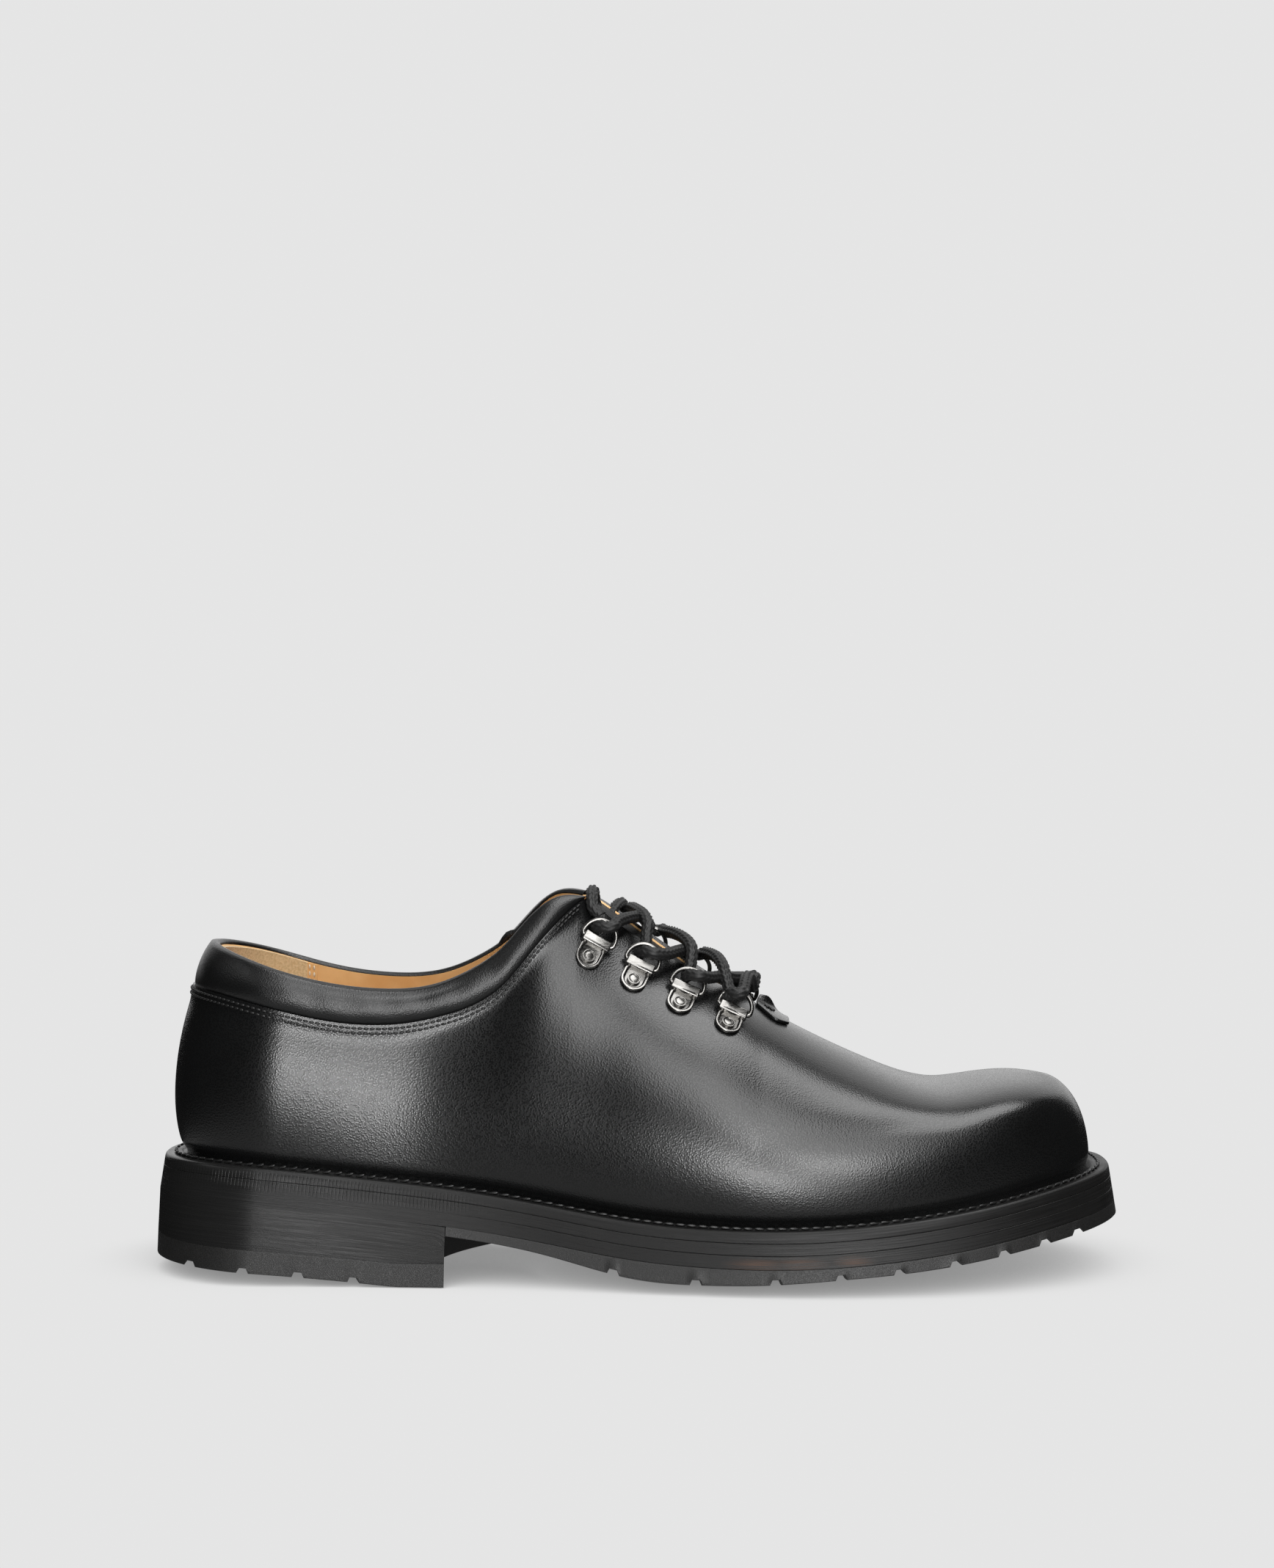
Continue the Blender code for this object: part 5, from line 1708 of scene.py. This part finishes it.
@dataclass
class Throat:
    """Tongue under the throat and the tab that closes its end."""

    last: Last
    tongue_depth: float = 3.5
    tongue_thickness: float = 1.8
    wing: float = 15.0
    start: float = 1.5
    stop: float = 3.0
    tab_thickness: float = 1.0
    tab_gap: float = 0.15
    star_at: float = 195.2
    star_across: float = -0.3
    spokes: int = 6
    spoke_middle: float = 1.15
    spoke_length: float = 1.7
    spoke_radius: float = 0.46

    def make_tongue(self, wardrobe: Wardrobe) -> None:
        """Tongue: a soft sheet under both edges of the throat."""
        tops = np.linspace(self.last.throat_top + self.start, self.last.throat_end - self.stop, 40)
        foot = self.last.foot_of(tops)
        shares = np.linspace(1, 0, 12)
        wings = {}
        for side in Side:
            t = self.last.below_top(side, foot, np.broadcast_to(self.wing * shares, (len(foot), 12)))
            points, normals, _ = self.last.frames(side, foot, t)
            wings[side] = points - normals * self.tongue_depth
        left, right = wings[Side.LATERAL], wings[Side.MEDIAL][:, ::-1]
        middle = (left[:, -1:] + right[:, :1]) / 2
        middle[..., 2] += 0.6
        tongue = lay_grid("tongue_leather", np.concatenate((left, middle, right), axis=1))
        pick(tongue)
        thicken(tongue, self.tongue_thickness)
        round_edges(tongue, 0.5 * METRES, 2, 60)
        weld(tongue)
        smooth(tongue, 60)
        finish_piece(tongue, wardrobe.dull_calf, ["tongue"])

    def tab_places(self, x: Array, across: Array, height: float) -> Array:
        """Points over the vamp on the tab, at stations and shares of its width."""
        foot = self.last.foot_of(x)
        columns = []
        for q in across:
            side = Side.LATERAL if q < 0 else Side.MEDIAL
            half, lift = TAB.at(side.name.lower(), x), TAB.at("lift", x) * max(q, 0.0)
            t = self.last.below_top(side, foot, (half * abs(q))[:, None])
            points, normals, _ = self.last.frames(side, foot, t)
            columns.append(points[:, 0] + normals[:, 0] * (height + lift * q * q)[:, None])
        return np.stack(columns, 1)

    def make_tab(self, wardrobe: Wardrobe) -> None:
        """Leather tab with pointed corners."""
        x = np.linspace(TAB.key[0], TAB.key[-1], 16)
        across = np.linspace(-1, 1, 18)
        points = self.tab_places(x, across, self.tab_gap + self.tab_thickness)
        tab = lay_grid("throat_tab_leather", points)
        weld(tab)
        thicken(tab, self.tab_thickness)
        round_edges(tab, 0.25 * METRES, 2, 60)
        smooth(tab, 60)
        finish_piece(tab, wardrobe.calf, ["throat_tab"])

    def make_star(self, wardrobe: Wardrobe) -> None:
        """Star of stitches on the outer half of the tab."""
        x, height = np.array([self.star_at]), self.tab_gap + self.tab_thickness

        def place(ahead: float, aside: float) -> Array:
            """A place on the tab near the star's middle."""
            return self.tab_places(x + ahead, np.array([self.star_across + aside]), height)[0, 0]

        middle = place(0.0, 0.0)
        run, over = unit(place(1.0, 0.0) - middle), unit(place(0.0, 0.2) - middle)
        outward = np.repeat(unit(np.cross(run, over))[None], 2, 0)
        rows = []
        for number in range(self.spokes):
            angle = number * 2 * math.pi / self.spokes
            spoke = run * math.cos(angle) + over * math.sin(angle)
            ends = middle + spoke * (self.spoke_middle + np.array([[-0.01], [0.01]]))
            rows.append(sew(f"star_{number}", ends, outward, self.spoke_length, self.spoke_radius, 0.25))
        star = join("tab_star_stitches", rows)
        finish_piece(star, wardrobe.thread)

    def build(self, wardrobe: Wardrobe) -> None:
        """Makes and dresses the tongue, the tab and its star."""
        self.make_tongue(wardrobe)
        self.make_tab(wardrobe)
        self.make_star(wardrobe)


# Lace rings and lace


@dataclass
class LaceRings:
    """Eight riveted plates with their wire rings, four on each side of the throat."""

    last: Last
    half_width: float = 4.25
    plate_length: float = 5.4
    plate_thickness: float = 1.1
    plate_stretch: float = 2.2
    plate_round: float = 0.4
    rim_width: float = 1.0
    rim_wall: float = 0.12
    rim_height: float = 0.62
    rivet_radius: float = 2.1
    rivet_stand: float = 0.32
    rivet_steps: tuple[tuple[float, float], ...] = ((0.4, 0.0), (0.1, -0.36), (0.22, 0.0), (0.1, 0.34))
    gap: float = 0.1
    bar_length: float = 9.4
    bar_width: float = 3.1
    bar_height: float = 2.6
    bar_slant: float = 18.0
    bar_round: float = 0.5
    fold_line: tuple[float, float] = (-0.75, -0.5)
    fold_depth: float = 0.3
    wire_radius: float = 0.68
    ring_half: float = 5.4
    ring_height: float = 7.1
    ring_corner: float = 1.6
    slope: float = 28.0
    tilt: float = 24.0
    places: tuple = (
        (Side.LATERAL, ((140.3, 19.2), (154.8, 19.0), (169.4, 21.4), (183.3, 25.4))),
        (Side.MEDIAL, ((143.0, 18.5), (157.5, 18.0), (172.5, 19.0), (186.0, 20.0))),
    )

    @property
    def hinge(self) -> Array:
        """Middle of the bar, in which the wire swings."""
        return np.array((0.0, self.plate_length, self.gap + self.bar_height / 2))

    def frame(self, side: Side, number: int) -> tuple[Array, Array]:
        """Place and axes of a ring.

        Args:
            side: Which side.
            number: Count from the top of the throat, from 1.

        Returns:
            The rivet's place, and rows for along, towards the throat and off the leather.
        """
        top_x, distance = dict(self.places)[side][number - 1]
        foot = self.last.foot_of(np.array([top_x]))
        t = self.last.below_top(side, foot, np.array([[distance]]))
        points, normals, _ = self.last.frames(side, foot, t)
        out = normals[0, 0]
        turn = math.radians(self.slope)
        along = np.array((math.cos(turn), 0.0, -math.sin(turn)))
        along = unit(along - out * (along @ out))
        across = np.cross(out, along) * -side
        return points[0, 0], np.stack((along, across, out))

    def seat(self, obj: Piece, side: Side, number: int) -> None:
        """Moves a mesh from the ring's own millimetres to its place on the shoe."""
        origin, axes = self.frame(side, number)
        move_points(obj, world(mesh_points(obj) @ axes + origin))
        weld(obj)

    def plate(self) -> Piece:
        """A rounded plate with a raised rim and a riveted middle, and its rolled bar."""
        deselect()
        bpy.ops.mesh.primitive_cylinder_add(vertices=48, radius=self.half_width, depth=self.plate_thickness)
        plate = bpy.context.object
        bpy.ops.object.mode_set(mode="EDIT")
        bpy.ops.mesh.select_all(action="DESELECT")
        bpy.ops.object.mode_set(mode="OBJECT")
        for vertex in plate.data.vertices:
            vertex.select = vertex.co.y > 0.3
        bpy.ops.object.mode_set(mode="EDIT")
        bpy.ops.transform.translate(value=(0, self.plate_stretch, 0))
        pick_faces(plate, lambda face: face.normal.z > 0.9)
        bpy.ops.mesh.inset(thickness=self.rim_width)
        bpy.ops.mesh.inset(thickness=self.rim_wall)
        bpy.ops.transform.translate(value=(0, 0, -self.rim_height))
        bpy.ops.object.mode_set(mode="OBJECT")
        plate.data.transform(Matrix.Translation((0, 0, self.gap + self.plate_thickness / 2)))
        round_edges(plate, self.plate_round, 4, 30)
        return join("plate", [plate, self.rivet(), self.bar()])

    def rivet(self) -> Piece:
        """Hollow rivet head: a flat ring round a sunk dish with a small button."""
        deselect()
        bpy.ops.mesh.primitive_cylinder_add(vertices=36, radius=self.rivet_radius, depth=1.0)
        rivet = bpy.context.object

        def in_middle(face: bpy.types.MeshPolygon) -> bool:
            """True for the upward face in the middle."""
            return face.normal.z > 0.9 and math.hypot(face.center.x, face.center.y) < 0.05

        bpy.ops.object.mode_set(mode="EDIT")
        for inset, sink in self.rivet_steps:
            pick_faces(rivet, in_middle)
            bpy.ops.mesh.inset(thickness=inset)
            bpy.ops.transform.translate(value=(0, 0, sink))
        bpy.ops.object.mode_set(mode="OBJECT")
        height = self.gap + self.plate_thickness - self.rivet_stand
        rivet.data.transform(Matrix.Translation((0, 0, height)))
        round_edges(rivet, 0.1, 2, 30)
        return rivet

    def bar(self) -> Piece:
        """Rolled bar that clips over the ring: a rounded box with a fold line and stepped ends."""
        deselect()
        bpy.ops.mesh.primitive_cube_add(size=1)
        bar = bpy.context.object
        bpy.ops.object.mode_set(mode="EDIT")
        bpy.ops.mesh.select_all(action="SELECT")
        bpy.ops.transform.resize(value=(self.bar_length, self.bar_width, self.bar_height))
        for y in self.fold_line:
            bpy.ops.mesh.select_all(action="SELECT")
            bpy.ops.mesh.bisect(plane_co=(0, y, 0), plane_no=(0, 1, 0))
        low, high = self.fold_line
        pick_faces(bar, lambda face: low < face.center.y < high and face.normal.z > 0.9)
        bpy.ops.transform.translate(value=(0, 0, -self.fold_depth))
        bpy.ops.object.mode_set(mode="OBJECT")
        round_edges(bar, self.bar_round, 4, 60)
        points = mesh_points(bar)
        slant = math.tan(math.radians(self.bar_slant)) * 2 / self.bar_height
        points[:, 2] += np.maximum(points[:, 2], 0) * points[:, 1] * slant
        move_points(bar, points + self.hinge)
        return bar

    def ring_path(self, angle: Array) -> Array:
        """Middle of the wire at angles round the ring, in the ring's own plane."""
        high = np.sin(angle) >= 0
        y = np.where(
            high,
            self.ring_corner + (self.ring_height - self.ring_corner) * np.abs(np.sin(angle)),
            self.ring_corner * (1 - np.abs(np.sin(angle)) ** 0.6),
        )
        cosine = np.cos(angle)
        x = self.ring_half * np.where(high, cosine, np.sign(cosine) * np.abs(cosine) ** 0.55)
        return np.stack((x, y, angle * 0), -1)

    def wire(self) -> Piece:
        """D-shaped wire ring that lies through the bar, lifted by the lace."""
        deselect()
        across = 5.0
        bpy.ops.mesh.primitive_torus_add(
            major_segments=72, minor_segments=14, major_radius=across, minor_radius=self.wire_radius
        )
        wire = bpy.context.object
        points = mesh_points(wire)
        angle = np.arctan2(points[:, 1], points[:, 0])
        aside = np.hypot(points[:, 0], points[:, 1]) - across
        middle = self.ring_path(angle)
        run = unit(self.ring_path(angle + 0.02) - self.ring_path(angle - 0.02))
        outward = np.stack((run[:, 1], -run[:, 0], run[:, 2]), -1)
        flat = middle + outward * aside[:, None] + np.outer(points[:, 2], (0, 0, 1))
        turn = math.radians(self.tilt)
        y = flat[:, 1] * math.cos(turn) - flat[:, 2] * math.sin(turn)
        z = flat[:, 1] * math.sin(turn) + flat[:, 2] * math.cos(turn)
        move_points(wire, np.stack((flat[:, 0], y, z), -1) + self.hinge)
        return wire

    def apex(self, side: Side, number: int, along: float, across: float, off: float) -> Array:
        """A place by the top of a ring's wire, moved in the ring's own frame."""
        origin, axes = self.frame(side, number)
        turn = math.radians(self.tilt)
        y, z = self.ring_height * math.cos(turn) + across, self.ring_height * math.sin(turn) + off
        return origin + (self.hinge + (along, y, z)) @ axes

    def build(self, wardrobe: Wardrobe) -> None:
        """Models one plate and one wire, copies them to every place and dresses the copies."""
        patterns = {"plate": self.plate(), "ring": self.wire()}
        for side, places in self.places:
            name = side.name.lower()
            for number in range(1, len(places) + 1):
                for kind, pattern in patterns.items():
                    pick(pattern)
                    bpy.ops.object.duplicate()
                    piece = bpy.context.object
                    piece.name = piece.data.name = f"{kind}_{name}_{number}_nickel"
                    self.seat(piece, side, number)
                    smooth(piece, 40)
                    finish_piece(piece, wardrobe.nickel, [f"lace_{kind}_{name}_{number}"])
        for pattern in patterns.values():
            bpy.data.objects.remove(pattern)


LACE_WAYS = {
    "top": (
        (139.4, -17.5, 116.2), (139.0, -15.0, 119.1), (139.0, -11.5, 120.5), (139.2, -8.0, 120.8),
        (139.4, -4.5, 119.9), (139.7, -2.0, 117.3), (140.5, -2.0, 113.8), (142.2, -1.5, 111.0),
        (143.9, 1.0, 111.3), (145.2, 4.5, 113.0), (146.6, 8.0, 114.6),
    ),
    "high_1": (
        (151.0, 7.5, 114.1), (153.7, -2.5, 113.9), (155.7, -8.5, 112.8), (156.7, -13.0, 110.6),
        (156.3, -15.2, 107.7),
    ),
    "low_1": ((147.0, -20.5, 111.9), (149.8, -15.0, 112.5), (152.4, -9.0, 112.5), (154.8, -3.5, 112.1)),
    "high_2": (
        (162.4, 9.0, 106.4), (165.0, 2.0, 106.5), (167.9, -5.0, 105.7), (170.0, -10.5, 104.0),
        (170.7, -14.0, 101.5),
    ),
    "low_2": ((162.4, -20.5, 101.7), (165.3, -15.0, 102.0), (168.0, -9.0, 102.0), (170.2, -3.5, 101.1)),
    "high_3": (
        (174.9, 9.0, 99.4), (177.0, 2.0, 99.7), (179.0, -5.0, 99.0), (180.5, -11.0, 97.0),
        (181.3, -14.5, 94.2),
    ),
    "low_3": ((175.7, -20.5, 94.3), (178.7, -14.5, 94.0), (181.5, -8.5, 93.5), (183.5, -3.0, 92.6)),
    "toe": (
        (186.7, -19.5, 90.0), (187.4, -14.5, 91.7), (188.1, -8.5, 92.9), (189.0, -2.0, 92.8),
        (190.0, 4.0, 91.1), (190.8, 9.5, 88.1),
    ),
}


@dataclass
class Lace:
    """One braided cord, wound from ring to ring over the throat."""

    rings: LaceRings
    radius: float = 1.85
    around: int = 40
    step: float = 0.32
    columns: int = 8
    plait_length: float = 2.1
    plait_depth: float = 0.5
    near_ends: tuple = ((-2.4, 2.0, 0.3), (-1.5, 2.8, 2.4), (-1.45, 2.6, 2.4), (-3.6, 0.2, 2.2))
    knob: tuple = ((0.4, 1.4, 2.2), (1.2, -1.2, 2.3), (2.2, -2.6, 0.4), (2.9, -1.6, -2.0), (3.4, 0.8, -2.5))

    def turn(self, side: Side, number: int, entry: float, leave: float, sag: float = 0.0) -> list[Array]:
        """Route round a ring's wire: in under it, up through the ring and out over it.

        Args:
            side: Which side.
            number: The ring.
            entry: Where along the ring the cord comes in.
            leave: Where along the ring it goes out.
            sag: How much lower it goes out than over the wire's top.

        Returns:
            Places along the route.
        """

        def drop(along: float) -> float:
            """How much lower the wire lies there than at its top."""
            return (math.sqrt(1 - (along / self.rings.ring_half) ** 2) - 1) * 5.0

        shape = (
            (entry, 2.2 + drop(entry), -2.2),
            (entry, 0.1 + drop(entry), -2.7),
            (entry + 0.2, -2.5 + drop(entry) * 0.6, -1.6),
            (entry + 1.0, -2.75 - sag * 0.2, 0.7),
            ((entry + leave) / 2 + 0.6, -2.6 - sag * 0.6, 2.0),
            (leave, -0.8 + drop(leave) - sag, 2.4),
        )
        return [self.rings.apex(side, number, *move) for move in shape]

    def route(self) -> Array:
        """Places of the whole cord, which runs round and back to its start."""
        way = {name: [np.array(place) for place in places] for name, places in LACE_WAYS.items()}
        near = {n: self.turn(Side.LATERAL, n, *ends) for n, ends in enumerate(self.near_ends, 1)}
        far = {n: self.turn(Side.MEDIAL, n, -2.6, 2.0) for n in (2, 3, 4)}
        knob = [self.rings.apex(Side.MEDIAL, 1, *move) for move in self.knob]
        there = near[1] + way["low_1"] + far[2] + way["high_2"] + near[3] + way["low_3"] + far[4]
        back = way["top"] + knob + way["high_1"] + near[2] + way["low_2"] + far[3]
        back += way["high_3"] + near[4] + way["toe"]
        return np.array(there + back[::-1])

    def eased(self, route: Array) -> Array:
        """A closed smooth path through the route, at even steps."""
        count = len(route)
        fine = []
        for i in range(count):
            before, here, after, beyond = (route[(i + k) % count] for k in (-1, 0, 1, 2))
            for s in np.linspace(0, 1, 24, endpoint=False):
                linear = 2 * here + (after - before) * s
                square = (2 * before - 5 * here + 4 * after - beyond) * s * s
                cubic = (3 * here - before - 3 * after + beyond) * s**3
                fine.append(0.5 * (linear + square + cubic))
        fine = np.array(fine + fine[:1])
        for _ in range(6):
            ring = fine[:-1]
            ring = 0.5 * ring + 0.25 * (np.roll(ring, 1, 0) + np.roll(ring, -1, 0))
            fine = np.concatenate((ring, ring[:1]))
        walked = walk(fine)
        marks = np.linspace(0, walked[-1], int(walked[-1] / self.step) + 1)
        return resample(fine, walked, marks)

    def build(self, wardrobe: Wardrobe) -> None:
        """Makes and dresses the cord, with the ridges of its plaits."""
        path = self.eased(self.route())
        ring = path[:-1]
        run = unit(np.roll(ring, -1, 0) - np.roll(ring, 1, 0))
        across = [unit(np.cross(run[0], (0.0, 0.0, 1.0)))]
        for tangent in run[1:]:
            across.append(unit(across[-1] - tangent * (across[-1] @ tangent)))
        across = np.array(across)
        up = np.cross(run, across)
        angle = np.linspace(0, 2 * math.pi, self.around + 1)
        walked = np.arange(len(ring)) * self.step
        column = self.columns * angle[None, :] / (2 * math.pi) + 0.5
        aside = column - np.floor(column) - 0.5
        odd = np.floor(column) % 2
        dash = walked[:, None] / self.plait_length + odd / 2 + aside * (1 - 2 * odd)
        plait = np.cos(math.pi * aside) * (0.6 + 0.4 * np.cos(2 * math.pi * dash)) - 0.5
        radius = self.radius + self.plait_depth * plait
        points = (
            ring[:, None]
            + radius[..., None] * np.cos(angle)[None, :, None] * across[:, None]
            + radius[..., None] * np.sin(angle)[None, :, None] * up[:, None]
        )
        points = np.concatenate((points, points[:1]))
        run_uv = np.append(walked, walked[-1] + self.step)[:, None] + angle * 0
        uv = np.stack((run_uv, np.broadcast_to(angle * self.radius, run_uv.shape)), -1) * METRES
        cord = lay_grid("lace_cord_braid", points, uv)
        weld(cord, 8e-6)
        smooth(cord, 80)
        solids = ["lace_bar_top", "lace_bar_toe"] + [f"lace_crossing_{k}" for k in (1, 2, 3)]
        finish_piece(cord, wardrobe.cord, solids)
        log.info("lace length %.0f mm", len(path) * self.step)


# Studio


@dataclass(frozen=True)
class Softbox:
    """A soft light at a bearing from the shoe: right of the camera's side, then up."""

    name: str
    bearing: float
    height: float
    distance: float
    size: tuple[float, float]
    power: float

    def hang(self, target: Vector) -> None:
        """Puts up the light, turned to the shoe."""
        data = bpy.data.lights.new(self.name, "AREA")
        data.shape = "RECTANGLE"
        data.size, data.size_y = self.size
        data.energy = self.power
        light = bpy.data.objects.new(self.name, data)
        bpy.context.scene.collection.objects.link(light)
        turn, rise = math.radians(self.bearing), math.radians(self.height)
        way = Vector((math.sin(turn) * math.cos(rise), -math.cos(turn) * math.cos(rise), math.sin(rise)))
        light.location = target + way * self.distance
        light.rotation_euler = (-way).to_track_quat("-Z", "Y").to_euler()
        light.visible_camera = False


@dataclass(frozen=True)
class Studio:
    """Pale floor, soft lights and a camera at the photograph's angle."""

    floor_level: float = 0.785
    shadow_level: float = 0.16
    shadow_reach: float = 0.036
    fill: float = 0.012
    floor_glow: float = 0.35
    camera_place: tuple[float, float, float] = (0.0, -0.95, 0.19)
    camera_pitch: float = 2.14
    focal_pixels: float = 4047.0
    picture_height: float = 2137.0
    sensor: float = 36.0
    lights: tuple[Softbox, ...] = (
        Softbox("front_softbox", 6.0, 0.0, 1.5, (0.74, 0.74), 4.0),
        Softbox("low_core", -4.5, -6.5, 1.45, (0.30, 0.36), 5.2),
        Softbox("front_core", 11.0, 12.0, 1.45, (0.36, 0.40), 4.8),
        Softbox("high_softbox", 7.0, 36.0, 1.5, (0.84, 0.86), 10.5),
        Softbox("overhead_softbox", 60.0, 74.0, 1.45, (1.2, 0.9), 18.0),
        Softbox("back_wall", 180.0, 30.0, 2.2, (3.6, 2.6), 30.0),
        Softbox("heel_softbox", -70.0, 34.0, 1.6, (0.9, 0.5), 1.5),
    )

    def lay_floor(self) -> None:
        """A wide pale floor with a soft shadow under the shoe, seen by the camera only."""
        deselect()
        bpy.ops.mesh.primitive_plane_add(size=40.0, location=(0, 0, -0.0003))
        floor = bpy.context.object
        floor.name = "floor"
        recipe = Recipe("pale_floor")
        tilt = recipe.node("ShaderNodeCombineXYZ", {1: -0.7, 2: 0.7}).outputs[0]
        inputs = {"Distance": self.shadow_reach, "Normal": tilt}
        shade = recipe.node("ShaderNodeAmbientOcclusion", inputs, samples=24)
        level = recipe.span(shade.outputs["AO"], 0.0, 1.0, self.shadow_level, self.floor_level)
        glow = recipe.node("ShaderNodeEmission", {"Color": level, "Strength": 1.0})
        output = recipe.tree.nodes["Material Output"]
        recipe.feed(output.inputs["Surface"], glow.outputs[0])
        floor.data.materials.append(recipe.material)
        floor.visible_glossy = False
        floor.visible_diffuse = False
        floor.visible_shadow = False

    def light_world(self) -> None:
        """A dim room, with the floor's own grey where the camera looks past the floor."""
        room = bpy.data.worlds.new("studio")
        bpy.context.scene.world = room
        room.use_nodes = True
        graph = Graph(room.node_tree)
        white = (1, 1, 1, 1)
        way = graph.node("ShaderNodeTexCoord").outputs["Generated"]
        height = graph.node("ShaderNodeSeparateXYZ", {0: way}).outputs[2]
        steps = {0: height, 1: -0.42, 2: -0.3, 3: self.floor_glow, 4: self.fill}
        dim = graph.tree.nodes["Background"]
        graph.feed(dim.inputs["Color"], white)
        graph.feed(dim.inputs["Strength"], graph.node("ShaderNodeMapRange", steps).outputs[0])
        backdrop = graph.node("ShaderNodeBackground", {"Color": white, "Strength": self.floor_level})
        seen = graph.node("ShaderNodeLightPath").outputs["Is Camera Ray"]
        mix = graph.node("ShaderNodeMixShader", {0: seen, 1: dim.outputs[0], 2: backdrop.outputs[0]})
        graph.feed(graph.tree.nodes["World Output"].inputs["Surface"], mix.outputs[0])

    def set_camera(self) -> None:
        """Camera at the photograph's height, distance and lens."""
        data = bpy.data.cameras.new("camera")
        data.sensor_width = self.sensor
        data.lens = self.focal_pixels / self.picture_height * self.sensor
        data.clip_start = 0.01
        camera = bpy.data.objects.new("camera", data)
        bpy.context.scene.collection.objects.link(camera)
        camera.location = self.camera_place
        camera.rotation_euler = (math.radians(90 - self.camera_pitch), 0, 0)
        bpy.context.scene.camera = camera

    def build(self) -> None:
        """Sets up floor, lights and camera."""
        bpy.context.scene.view_settings.view_transform = "Standard"
        target = Vector((0.0, 0.0, 0.055))
        for light in self.lights:
            light.hang(target)
        self.lay_floor()
        self.light_world()
        self.set_camera()


def main() -> None:
    """Builds the studio and then every sub-assembly in order."""
    logging.basicConfig(level=logging.INFO, format="%(name)s: %(message)s")
    Studio().build()
    wardrobe = Wardrobe()
    outline = SoleOutline()
    last = Last(outline)
    rings = LaceRings(last)
    for part in (SoleUnit(outline), Upper(last), PaddedCollar(last), Throat(last), rings, Lace(rings)):
        part.build(wardrobe)


if __name__ == "__main__":
    main()
